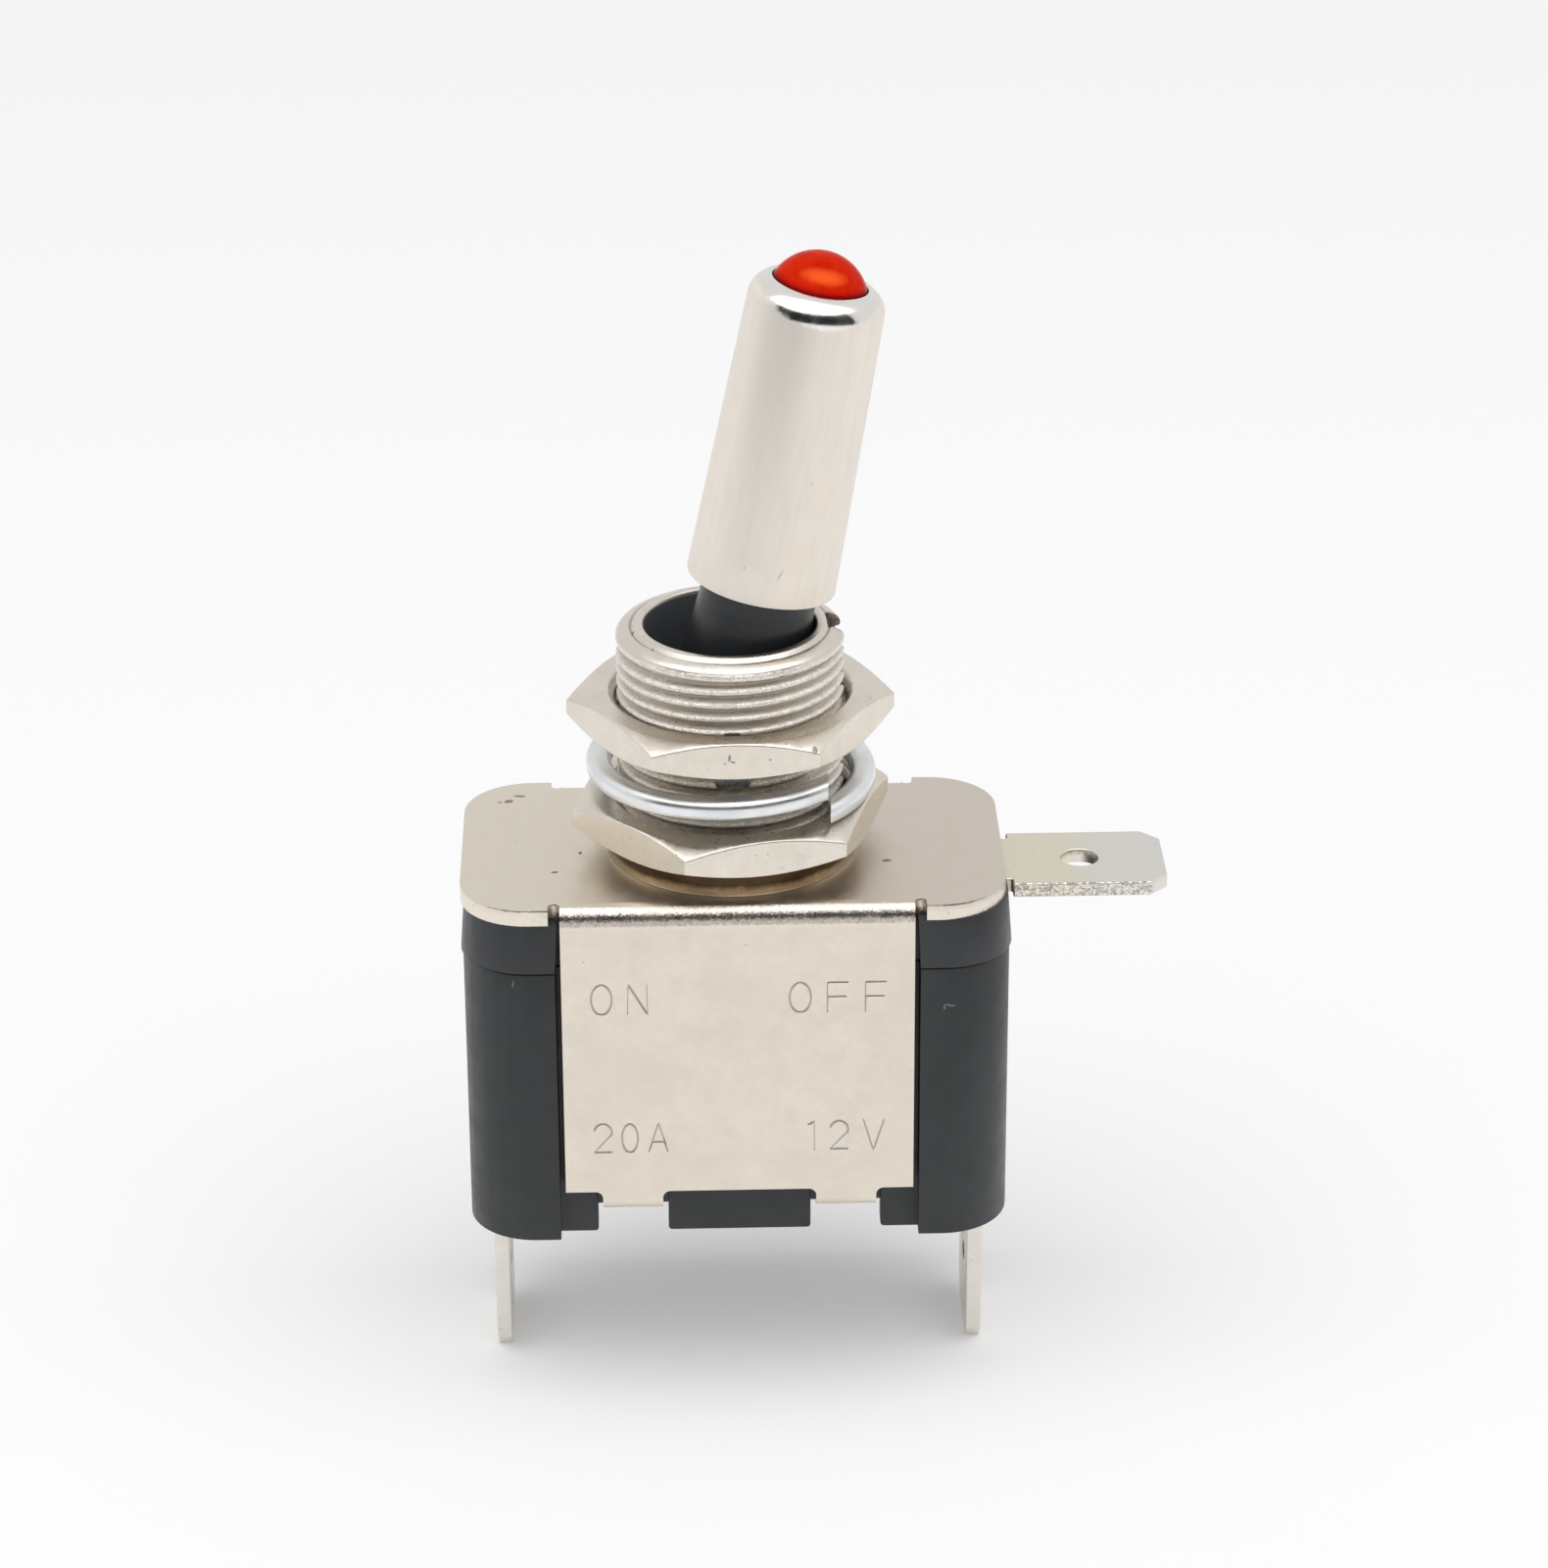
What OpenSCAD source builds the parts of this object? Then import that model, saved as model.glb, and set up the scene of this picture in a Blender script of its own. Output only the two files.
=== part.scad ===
// Illuminated on-off panel toggle switch, 12 V 20 A, with 6.3 mm blade terminals.
// Units are millimetres. The origin is on the bushing's axis at the top face of the cover plate,
// +Z runs up the bushing, +X points to the OFF side and the ground tab, and +Y to the back.
// The lever is drawn resting at OFF, leaning to +X.

/* [Body] */
// Length of the cover plate and case along X
body_len = 28.7; // [24:0.1:36]
// Depth of the cover plate and case along Y
body_dep = 15.8; // [12.5:0.1:20]
// Radius of the plan corners
corner_r = 3.6; // [2:0.1:5]
// How far the case, its blades and the skirts sit off the bushing's axis, towards OFF
case_off = 0.15; // [0:0.05:0.3]
// How far the case stands out past each end of the cover plate
case_over = 0.08; // [0:0.02:0.2]
// Height of the upper ring of the case
lid_h = 2.85; // [2.5:0.05:5]
// Height of the case below the parting line
case_h = 15.9; // [15.5:0.1:22]
// Height by which the rim hangs below the floor
rim_h = 2.5; // [1.8:0.1:4]
// Radius of the rim's corners at the notches for the tabs
rim_corner = 0.2; // [0.1:0.05:0.5]
// Thickness of the case floor
floor_t = 1.5; // [1:0.1:3]
// How far the upper ring stands out past the case at the parting line
lid_step = 0.1; // [0:0.02:0.3]

/* [Cover frame] */
// Thickness of the cover sheet
sheet_t = 0.9; // [0.5:0.05:1.2]
// Width of the front and back skirts
skirt_w = 18.5; // [14:0.1:20]
// Distance from the plate's top face to the skirts' bottom edge
skirt_h = 16.75; // [12:0.05:24]
// Width of the slot between a wing of the plate and a skirt
relief_w = 0.6; // [0.4:0.05:1.2]
// Depth of that slot along Y, to its round end
relief_d = 0.75; // [0.6:0.05:2.5]
// Width of a crimp tab
tab_w = 3.2; // [2:0.1:4]
// Distance of a crimp tab's centre from the middle
tab_x = 5.68; // [4:0.1:7]
// Radius of the corners between a skirt's edge and its tabs
tab_corner = 0.4; // [0.2:0.05:0.4]
// Length of a crimp tab folded under the floor
tab_fold = 2.4; // [1.5:0.1:3]

/* [Bushing] */
// Outside diameter of the M12 x 0.75 thread
thread_d = 12; // [12:0.1:14.4]
// Thread pitch
thread_pitch = 0.75; // [0.5:0.05:1]
// Depth of the thread
thread_depth = 0.42; // [0.2:0.02:0.5]
// Height of the bushing above the cover plate
bushing_h = 12.8; // [11.5:0.1:16]
// Wall of the bushing, from its bore to the thread's crests
bushing_wall = 1.5; // [1.2:0.05:1.6]
// How far the collar on the cover plate stands out past the thread
collar_over = 0.675; // [0.3:0.025:1]
// Height of the collar
collar_h = 1.45; // [1:0.05:2.5]
// Width of the keyway
key_w = 2; // [1:0.1:2.5]
// Depth of the keyway
key_d = 0.95; // [0.5:0.05:1]
// Direction of the keyway, from +X towards +Y
key_turn = 4; // [0:1:20]

/* [Nuts and washer] */
// Wall of a nut, from the thread to its flats
nut_wall = 1.5; // [1.2:0.05:2.5]
// Thickness of a nut
nut_t = 2; // [1.6:0.1:3]
// Height of the upper nut's top face
upper_nut_z = 9.1; // [8:0.1:11]
// Turn of the upper nut
upper_nut_turn = 1; // [-30:1:30]
// Turn of the lower nut
lower_nut_turn = 13; // [-30:1:30]
// Gap between the thread and the split lock washer
washer_gap = 0.35; // [0.15:0.05:0.6]
// Width of the washer's wire
washer_w = 1.2; // [0.9:0.05:1.5]
// Thickness of the washer's wire along Z
washer_t = 1.1; // [0.7:0.05:1.3]
// Rise of the washer over its one turn
washer_rise = 1.3; // [0.6:0.05:1.5]
// Direction of the washer's split
washer_turn = -47; // [-180:1:180]
// Opening of the split, in degrees
washer_split = 1.6; // [1:0.2:6]
// Slant of the split across the wire, in degrees for each millimetre
washer_slant = -8; // [-12:1:12]

/* [Lever] */
// Height of the pivot above the cover plate
pivot_h = 6.5; // [5.4:0.1:7.8]
// Lean of the lever at OFF, and by as much the other way at ON
lever_lean = 10.8; // [8:0.1:12]
// Distance along the lever from the bushing's rim to the sleeve's lower end
sleeve_up = 2.5; // [2.2:0.1:5]
// Length of the sleeve
sleeve_len = 16.55; // [12:0.05:24]
// Wall of the sleeve at its tip
sleeve_wall = 0.5; // [0.4:0.025:0.8]
// How much wider the sleeve is at its lower end than at its tip
sleeve_taper = 0.75; // [0:0.05:1.2]
// Radius of the rounded tip edge
sleeve_edge = 1; // [0.5:0.1:1.1]
// Gap between the stem and the bushing's rim at each end of the lever's travel
rim_gap = 0.19; // [0.15:0.01:0.4]
// How much wider the stem's hub round the pivot is than its upper part
hub_over = 0.6; // [0.2:0.05:0.8]
// Diameter of the stem's lower tube
tube_d = 5.2; // [4.6:0.1:5.4]
// Diameter of the pivot pin
pin_d = 2; // [1.5:0.1:2.5]
// Diameter of the lens dome
lens_d = 4.84; // [4:0.02:5]
// Height of the lens dome above the sleeve
lens_h = 1.55; // [1:0.05:2.2]

/* [Plunger and spring] */
// Distance from the pivot to the plunger's tip
tip_l = 15.2; // [14:0.1:16]
// Radius of the plunger's tip
tip_r = 1.2; // [0.9:0.05:1.4]
// Diameter of the plunger's barrel
plunger_d = 3.36; // [3:0.02:3.6]
// Radial clearance of the plunger in its bore
plunger_clear = 0.07; // [0.03:0.01:0.1]
// Diameter of the spring wire
spring_wire = 0.4; // [0.3:0.05:0.5]
// Turns of the spring
spring_turns = 6; // [4:1:8]

/* [Contacts] */
// Thickness of the rocker strip
rocker_t = 0.8; // [0.5:0.05:1]
// Width of the rocker
rocker_w = 5; // [4:0.1:7]
// Length of one wing of the rocker
wing_len = 9.2; // [8.8:0.1:10]
// Rise of each wing, which makes the rocker a shallow V
wing_rise = 8; // [6:0.5:10]
// Tilt of the rocker at each end of its travel
rocker_tilt = 7; // [5:0.5:8]
// Radius of the rolled edge that the rocker turns on
fulcrum_r = 0.6; // [0.5:0.05:0.8]
// Distance of the contact from the middle
contact_x = 8; // [7:0.1:8.2]
// Diameter of a contact head
contact_d = 3.4; // [2.5:0.1:4]
// Height of a contact head with its dome
contact_h = 0.8; // [0.6:0.05:1]

/* [Terminals] */
// Width of every blade
blade_w = 6.3; // [4.8:0.1:6.5]
// Thickness of every blade
blade_t = 0.8; // [0.5:0.1:0.9]
// Length of the lower blades below the case rim
blade_out = 9.75; // [7:0.05:12]
// Distance of each lower blade's centre from the end of the case
blade_in = 1.45; // [1.4:0.05:2.5]
// Length of the ground tab past the end of the cover plate
ground_out = 8.75; // [7:0.05:10]
// Depth of the ground tab's top face below the plate's top face
ground_z = 1.2; // [1:0.05:1.5]
// Bevel at the blade tips
blade_bevel = 0.95; // [0.5:0.05:1.5]
// Diameter of the hole in each blade
blade_hole_d = 2; // [1.4:0.1:2.2]
// Distance of that hole from the blade's tip
blade_hole_in = 4.5; // [3:0.1:5]

/* [Hidden] */
$fn = 64;
eps = 0.01;
fit = 0.05;
half_len = body_len / 2;
half_dep = body_dep / 2;
case_len = body_len + 2 * case_over;
lid_z = -sheet_t;
part_z = lid_z - lid_h;
rim_z = part_z - case_h;
floor_under = rim_z + rim_h;
floor_top = floor_under + floor_t;
recess_w = skirt_w + 0.6;
recess_d = sheet_t + fit;
wall_y = half_dep - recess_d - 1.2;
wall_x = half_len - 0.9;
blade_x = half_len - blade_in;
load_x = case_off - blade_x;
supply_x = case_off + blade_x;
blade_tip = rim_z - blade_out;
foot_w = blade_w - 1.3;
notch_w = tab_w + 0.55;
thread_r = thread_d / 2;
thread_root = thread_r - thread_depth;
bore_d = thread_d - 2 * bushing_wall;
collar_d = thread_d + 2 * collar_over;
spigot_r = bore_d / 2 + 0.65;
// the staked flare takes two fifths of the room between the spigot and the skirts
flare_r = spigot_r + 0.4 * (half_dep - sheet_t - spigot_r);
thread_low = collar_h + 0.55;
thread_turns = floor((bushing_h - 0.7 - thread_low) / thread_pitch);
nut_af = thread_d + 2 * nut_wall;
nut_bore = thread_r + fit;
nut_face = nut_af / 2 - 0.08;
nut_drop = 0.62;
lower_nut_z = collar_h + 0.02;
washer_z = lower_nut_z + nut_t + 0.01;
washer_in = thread_r + washer_gap;
rim_up = bushing_h - pivot_h;
// the stem is as thick as the bushing's rim lets it be at the end of the lever's travel
rim_reach = bore_d / 2 * cos(lever_lean) - rim_up * sin(lever_lean);
stem_d = 2 * (rim_reach - rim_gap);
hub_d = stem_d + hub_over;
sleeve_z = rim_up + sleeve_up;
sleeve_d2 = stem_d + 2 * sleeve_wall;
sleeve_d1 = sleeve_d2 + sleeve_taper;
stem_top = sleeve_z + sleeve_len - 5.5;
neck_low = rim_up - 2.3;
neck_top = sleeve_z - 1.2;
spring_bore = plunger_d / 2 + plunger_clear;
spring_top = -4;
tube_end = -11.5;
plunger_top = tube_end + 2.9;
// the rocker turns on an axis under its strip, low enough for the plunger's tip to clear it at mid travel
axis_under = 0.35;
mid_gap = 0.04;
tip_centre = tip_l - tip_r;
fulcrum_z = pivot_h - tip_centre - (axis_under + rocker_t + tip_r + mid_gap) / cos(wing_rise);
closed_rise = wing_rise - rocker_tilt;
closed_lift = contact_x * sin(closed_rise) - (contact_h - axis_under) * cos(closed_rise);
fixed_top = fulcrum_z + closed_lift - 0.03;
supply_top = fixed_top - contact_h;
stop_in = contact_x - 0.5;
stop_top = fulcrum_z + axis_under + stop_in * tan(closed_rise) - fit;

// A block with rounded vertical edges, centred in plan, from z = low to z = high.
module rounded_block(len, dep, r, low, high) {
    translate([-len / 2 + r, -dep / 2, low])
        cube([len - 2 * r, dep, high - low]);
    translate([-len / 2, -dep / 2 + r, low])
        cube([len, dep - 2 * r, high - low]);
    for (sx = [-1, 1], sy = [-1, 1])
        translate([sx * (len / 2 - r), sy * (dep / 2 - r), low])
            cylinder(r = r, h = high - low);
}

// A box centred in plan on x, y, from z = low to z = high.
module post(x, y, len, dep, low, high) {
    translate([x - len / 2, y - dep / 2, low])
        cube([len, dep, high - low]);
}

// Places what sits with the case, a little off the bushing's axis.
module on_case() {
    translate([case_off, 0, 0])
        children();
}

// Places the lever's parts: the pivot is the local origin and +Z runs up the lever.
module on_lever() {
    translate([0, 0, pivot_h])
        rotate([0, lever_lean, 0])
            children();
}

// Places the rocker's parts at OFF, with its left wing down, about the fulcrum.
module on_rocker() {
    translate([0, 0, fulcrum_z])
        rotate([0, -rocker_tilt, 0])
            children();
}

// A round wire along straight legs through points in the XZ plane, each leg run on a little at its ends.
module wire(points, r) {
    over = 0.5 * r;
    for (i = [0 : len(points) - 2]) {
        leg = points[i + 1] - points[i];
        translate([points[i][0], 0, points[i][1]])
            rotate([0, atan2(leg[0], leg[1]), 0])
                translate([0, 0, -over])
                    cylinder(r = r, h = norm(leg) + 2 * over);
    }
}

// A blade of the terminals: its plan with two bevelled tip corners and a hole, tip at the origin, along +X.
module blade_plan(len) {
    difference() {
        polygon([
            [0, blade_w / 2 - blade_bevel],
            [blade_bevel, blade_w / 2],
            [len, blade_w / 2],
            [len, -blade_w / 2],
            [blade_bevel, -blade_w / 2],
            [0, -blade_w / 2 + blade_bevel]
        ]);
        translate([blade_hole_in, 0])
            circle(d = blade_hole_d);
    }
}

// A lower blade from its tip up to z = top, its flat faces square to X.
module lower_blade(x, top) {
    translate([x + blade_t / 2, 0, blade_tip])
        rotate([0, -90, 0])
            linear_extrude(blade_t)
                blade_plan(top - blade_tip);
}

// A contact rivet: a head with a low dome below z = 0, and a shank and upset head through a strip above it.
module rivet(strip_t) {
    dome_h = 0.25;
    dome_r = (pow(contact_d / 2, 2) + pow(dome_h, 2)) / (2 * dome_h);
    translate([0, 0, -contact_h + dome_h])
        cylinder(d = contact_d, h = contact_h - dome_h);
    intersection() {
        translate([0, 0, -contact_h + dome_r])
            sphere(r = dome_r);
        translate([0, 0, -contact_h - 1])
            cylinder(d = contact_d, h = 1 + dome_h);
    }
    cylinder(r = 0.8, h = strip_t + eps);
    translate([0, 0, strip_t])
        cylinder(r = 1.2, h = 0.3);
}

// The recesses in the front and back faces that the skirts lie in.
module skirt_recess(low, high) {
    on_case()
        for (sy = [-1, 1])
            post(0, sy * (half_dep + 1), recess_w, 2 * (recess_d + 1), low, high);
}

// A notch through the rim for a crimp tab, as seen from the front, with the rim's corners rounded.
module notch_plan() {
    translate([-notch_w / 2, rim_z - 1])
        square([notch_w, rim_h + 1]);
    for (side = [0, 1])
        mirror([side, 0, 0])
            difference() {
                translate([notch_w / 2 - eps, rim_z - 1])
                    square([rim_corner + eps, rim_corner + 1]);
                translate([notch_w / 2 + rim_corner, rim_z + rim_corner])
                    circle(r = rim_corner);
            }
}

module base_housing() {
    color("#23272b")
        difference() {
            union() {
                difference() {
                    on_case()
                        rounded_block(case_len, body_dep, corner_r, rim_z, part_z);
                    on_case()
                        rounded_block(2 * wall_x, 2 * wall_y, 1, floor_top, part_z + 1);
                    on_case()
                        rounded_block(2 * wall_x, 2 * wall_y, 1, rim_z - 1, floor_under);
                    skirt_recess(rim_z - 1, part_z + 1);
                }
                // the bar that the rocker's free wing rests on at OFF
                post(-stop_in - 1, 0, 2, 2 * wall_y + 1, stop_top - 1.6, stop_top);
                // the pedestal under the supply terminal's foot
                post(contact_x, 0, 4, foot_w, floor_top - eps, supply_top - blade_t);
            }
            // notches for the crimp tabs
            on_case()
                for (sx = [-1, 1], sy = [-1, 1])
                    translate([sx * tab_x, sy * half_dep, 0])
                        rotate([90, 0, 0])
                            linear_extrude(2 * (half_dep - wall_y) + 1, center = true)
                                notch_plan();
            // slots for the two lower blades
            for (sx = [-1, 1])
                post(case_off + sx * blade_x, 0, blade_t + 0.1, blade_w + 0.1, floor_under - 1, floor_top + 1);
            // well for the tail of the fixed contact
            translate([contact_x, 0, supply_top - blade_t - 0.5])
                cylinder(r = 1.4, h = 1);
        }
}

module housing_lid() {
    color("#282c30")
        difference() {
            union() {
                on_case()
                    rounded_block(case_len + 2 * lid_step, body_dep + 2 * lid_step, corner_r, part_z, lid_z);
                // the spigot that locates the ring in the case
                on_case()
                    rounded_block(2 * (wall_x - fit), 2 * (wall_y - fit), 1, part_z - 1.4, part_z + eps);
            }
            on_case()
                rounded_block(2 * (wall_x - 1.1), 2 * (wall_y - 1), 1, part_z - 2, lid_z - 1.6);
            // opening for the bushing's flare and the lever
            translate([0, 0, lid_z - 3])
                cylinder(r = flare_r + 0.3, h = 4);
            skirt_recess(part_z - 2, lid_z + 1);
            // slot for the ground terminal's neck
            translate([8.2, -(foot_w + 0.2) / 2, -ground_z - blade_t - fit])
                cube([half_len, foot_w + 0.2, 2]);
        }
}

module cover_frame() {
    color("#c9c5bb")
        difference() {
            union() {
                difference() {
                    rounded_block(body_len, body_dep, corner_r, -sheet_t, 0);
                    on_case()
                        for (sy = [0, 1])
                            mirror([0, sy, 0])
                                bend_room();
                }
                on_case()
                    for (sy = [0, 1])
                        mirror([0, sy, 0])
                            skirt();
            }
            translate([0, 0, -2])
                cylinder(r = spigot_r, h = 3);
        }
}

// What the flat plate leaves for the front bend: its length, and a round-ended slot at each end of it.
module bend_room() {
    slot_end = half_dep - relief_d + relief_w / 2;
    post(0, -half_dep, skirt_w, 2 * sheet_t, -2, 1);
    for (sx = [-1, 1])
        translate([sx * (skirt_w + relief_w) / 2, -slot_end, -2]) {
            translate([-relief_w / 2, -2 * relief_d, 0])
                cube([relief_w, 2 * relief_d, 3]);
            cylinder(d = relief_w, h = 3);
        }
}

// The web that rounds the corner between a skirt's lower edge and a tab's side.
module corner_web() {
    difference() {
        translate([-eps, -tab_corner])
            square([tab_corner + eps, tab_corner + eps]);
        translate([tab_corner, -tab_corner])
            circle(r = tab_corner);
    }
}

// The front skirt with its rounded bend and two crimp tabs folded under the floor.
module skirt() {
    bend_y = -half_dep + sheet_t;
    intersection() {
        translate([-skirt_w / 2, bend_y, -sheet_t])
            rotate([0, 90, 0])
                cylinder(r = sheet_t, h = skirt_w);
        post(0, bend_y - 1, skirt_w, 2, -sheet_t, 1);
    }
    post(0, bend_y - sheet_t / 2, skirt_w, sheet_t, -skirt_h, -sheet_t);
    for (sx = [-1, 1]) {
        post(sx * tab_x, bend_y - sheet_t / 2, tab_w, sheet_t, floor_under, -skirt_h);
        for (side = [0, 1])
            translate([sx * tab_x, bend_y, -skirt_h])
                mirror([side, 0, 0])
                    translate([tab_w / 2, 0, 0])
                        rotate([90, 0, 0])
                            linear_extrude(sheet_t)
                                corner_web();
        intersection() {
            translate([sx * tab_x - tab_w / 2, bend_y, floor_under])
                rotate([0, 90, 0])
                    cylinder(r = sheet_t, h = tab_w);
            post(sx * tab_x, bend_y - 1, tab_w, 2, floor_under - 2, floor_under);
        }
        post(sx * tab_x, bend_y + tab_fold / 2, tab_w, tab_fold, floor_under - sheet_t, floor_under);
    }
}

module bushing() {
    color("#c8c5bd")
        difference() {
            union() {
                rotate_extrude()
                    polygon(concat(
                        [[0, collar_h - 0.2], [thread_root, collar_h - 0.2]],
                        [
                            for (i = [0 : thread_turns - 1], corner = [0 : 3])
                                [
                                    corner == 0 || corner == 3 ? thread_root : thread_r,
                                    thread_low + thread_pitch * (i + [0.1, 0.42, 0.6, 0.92][corner])
                                ]
                        ],
                        [
                            [thread_root, bushing_h - 0.75],
                            [thread_r, bushing_h - 0.5],
                            [thread_r - 0.27, bushing_h],
                            [0, bushing_h]
                        ]
                    ));
                cylinder(d = collar_d, h = collar_h);
                translate([0, 0, -sheet_t])
                    cylinder(r = spigot_r, h = sheet_t + eps);
                translate([0, 0, -sheet_t - 0.7])
                    cylinder(r = flare_r, h = 0.7);
            }
            translate([0, 0, -3])
                cylinder(d = bore_d, h = bushing_h + 4);
            rotate([0, 0, key_turn])
                translate([thread_r - key_d, -key_w / 2, collar_h])
                    cube([2, key_w, bushing_h]);
            translate([0, 0, pivot_h])
                rotate([90, 0, 0])
                    cylinder(d = pin_d, h = 2 * thread_d, center = true);
        }
}

module pivot_pin() {
    color("#b9b6ae")
        translate([0, 0, pivot_h])
            rotate([90, 0, 0])
                cylinder(d = pin_d, h = 2 * (thread_root - 0.1), center = true);
}

module load_terminal() {
    color("#cfc9b8") {
        difference() {
            union() {
                lower_blade(load_x, floor_top + blade_t);
                translate([load_x - blade_t / 2, -foot_w / 2, floor_top])
                    cube([blade_t - load_x, foot_w, blade_t]);
                post(0, 0, blade_t, foot_w, floor_top, fulcrum_z);
            }
            for (sy = [-1, 1])
                post(load_x, sy * (blade_w / 2 + 1), 2, 2 + blade_w - foot_w, floor_top - 0.001, floor_top + 2);
        }
        translate([0, 0, fulcrum_z])
            rotate([90, 0, 0])
                cylinder(r = fulcrum_r, h = foot_w, center = true);
    }
}

module supply_terminal() {
    color("#cfc9b8")
        difference() {
            union() {
                lower_blade(supply_x, floor_top + 1);
                post(supply_x, 0, blade_t, foot_w, floor_top, supply_top);
                translate([contact_x - 2, -foot_w / 2, supply_top - blade_t])
                    cube([supply_x + blade_t / 2 - contact_x + 2, foot_w, blade_t]);
            }
            translate([contact_x, 0, supply_top - 2])
                cylinder(r = 0.8, h = 4);
        }
}

module fixed_contact() {
    color("#d6d6d2")
        translate([contact_x, 0, supply_top])
            mirror([0, 0, 1])
                rivet(blade_t);
}

module ground_terminal() {
    color("#c9c4a8")
        difference() {
            union() {
                translate([half_len + ground_out, 0, -ground_z - blade_t])
                    linear_extrude(blade_t)
                        mirror([1, 0])
                            blade_plan(ground_out - 0.5);
                translate([11, -foot_w / 2, -ground_z - blade_t])
                    cube([half_len - 11 + 1, foot_w, blade_t]);
                // the inner end steps up to bear on the cover plate
                translate([8.4, -foot_w / 2, -sheet_t - blade_t])
                    cube([3.4, foot_w, blade_t]);
            }
        }
}

// A hexagon nut lying on z = 0, bevelled on both faces and countersunk.
module nut() {
    corner = nut_af / 2 / cos(30);
    reach = corner - nut_face;
    slope = nut_drop / reach;
    difference() {
        intersection() {
            cylinder(r = corner, h = nut_t, $fn = 6);
            union() {
                cylinder(r1 = nut_face, r2 = nut_face + reach + 1, h = slope * (reach + 1));
                translate([0, 0, slope * (reach + 1)])
                    cylinder(r = corner + 1, h = nut_t);
            }
            translate([0, 0, nut_t])
                mirror([0, 0, 1])
                    union() {
                        cylinder(r1 = nut_face, r2 = nut_face + reach + 1, h = slope * (reach + 1));
                        translate([0, 0, slope * (reach + 1)])
                            cylinder(r = corner + 1, h = nut_t);
                    }
        }
        translate([0, 0, -1])
            cylinder(r = nut_bore, h = nut_t + 2);
        translate([0, 0, -eps])
            cylinder(r1 = nut_bore + 0.4, r2 = nut_bore, h = 0.4);
        translate([0, 0, nut_t - 0.4 + eps])
            cylinder(r1 = nut_bore, r2 = nut_bore + 0.4, h = 0.4);
    }
}

module lower_nut() {
    color("#bdbab2")
        translate([0, 0, lower_nut_z])
            rotate([0, 0, lower_nut_turn])
                nut();
}

module upper_nut() {
    color("#bdbab2")
        translate([0, 0, upper_nut_z - nut_t])
            rotate([0, 0, upper_nut_turn])
                nut();
}

// Closed tube from rings of points, each ring in order round the section, capped at both ends.
module ring_tube(rings) {
    count = len(rings[0]);
    last = len(rings) - 1;
    polyhedron(
        points = [for (ring = rings) each ring],
        faces = concat(
            [[for (i = [0 : count - 1]) i]],
            [
                for (k = [0 : last - 1], i = [0 : count - 1])
                    let (a = k * count + i, b = k * count + (i + 1) % count)
                        each [[a, a + count, b], [b, a + count, b + count]]
            ],
            [[for (i = [count - 1 : -1 : 0]) last * count + i]]
        )
    );
}

module lock_washer() {
    steps = 56;
    half_w = washer_w / 2;
    mid_r = washer_in + half_w;
    bevel = 0.3;
    section = [
        [-half_w, washer_t - bevel], [-half_w + bevel, washer_t], [half_w - bevel, washer_t],
        [half_w, washer_t - bevel], [half_w, bevel], [half_w - bevel, 0],
        [-half_w + bevel, 0], [-half_w, bevel]
    ];
    color("#c3cbd3")
        translate([0, 0, washer_z])
            ring_tube([
                for (k = [0 : steps])
                    let (turn = washer_turn + washer_split / 2 + (360 - washer_split) * k / steps)
                        [
                            for (q = section)
                                [
                                    (mid_r + q[0]) * cos(turn + washer_slant * q[0]),
                                    (mid_r + q[0]) * sin(turn + washer_slant * q[0]),
                                    q[1] + washer_rise * k / steps
                                ]
                        ]
            ]);
}

module lever_stem() {
    color("#1d2023")
        on_lever()
            difference() {
                union() {
                    translate([0, 0, neck_top])
                        cylinder(d = stem_d, h = stem_top - neck_top);
                    translate([0, 0, neck_low])
                        cylinder(d1 = hub_d, d2 = stem_d, h = neck_top - neck_low);
                    translate([0, 0, -3])
                        cylinder(d = hub_d, h = neck_low + 3);
                    translate([0, 0, tube_end])
                        cylinder(d = tube_d, h = 9);
                }
                // cross hole for the pivot pin
                rotate([90, 0, 0])
                    cylinder(d = pin_d + 0.1, h = 2 * hub_d, center = true);
                // bore for the resistor and the leads
                translate([0, 0, 3.2])
                    cylinder(r = 1.6, h = stem_top);
                // duct for the cathode lead down to the pin
                translate([0.8, 0, 0.6])
                    cylinder(r = 0.35, h = 4);
                // duct for the resistor's lead past the pin, turning in above the spring
                post(-1.85, 0, 1, 0.8, spring_top - 0.5, 5);
                post(-1.5, 0, 1.7, 0.8, spring_top - 0.5, spring_top + 0.9);
                // bore for the spring and the plunger
                translate([0, 0, tube_end - 1])
                    cylinder(r = spring_bore, h = spring_top - tube_end + 1);
            }
}

module lever_sleeve() {
    top = sleeve_z + sleeve_len;
    r1 = sleeve_d1 / 2;
    r2 = sleeve_d2 / 2;
    color("#cdc7bb")
        on_lever()
            difference() {
                rotate_extrude()
                    union() {
                        polygon([
                            [0, sleeve_z], [r1, sleeve_z], [r2, top - sleeve_edge], [0, top - sleeve_edge]
                        ]);
                        translate([0, top - sleeve_edge - eps])
                            square([r2 - sleeve_edge, sleeve_edge + eps]);
                        intersection() {
                            translate([r2 - sleeve_edge, top - sleeve_edge])
                                circle(r = sleeve_edge);
                            translate([0, top - sleeve_edge - eps])
                                square([r2 + 1, sleeve_edge + 1]);
                        }
                    }
                translate([0, 0, sleeve_z - 1])
                    cylinder(r = stem_d / 2 + 0.02, h = sleeve_len - 1.2 + 1);
                translate([0, 0, sleeve_z - eps])
                    cylinder(r1 = r1 - sleeve_wall, r2 = stem_d / 2, h = 3);
                translate([0, 0, top - 2])
                    cylinder(r = lens_d / 2 + 0.06, h = 3);
            }
}

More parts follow.
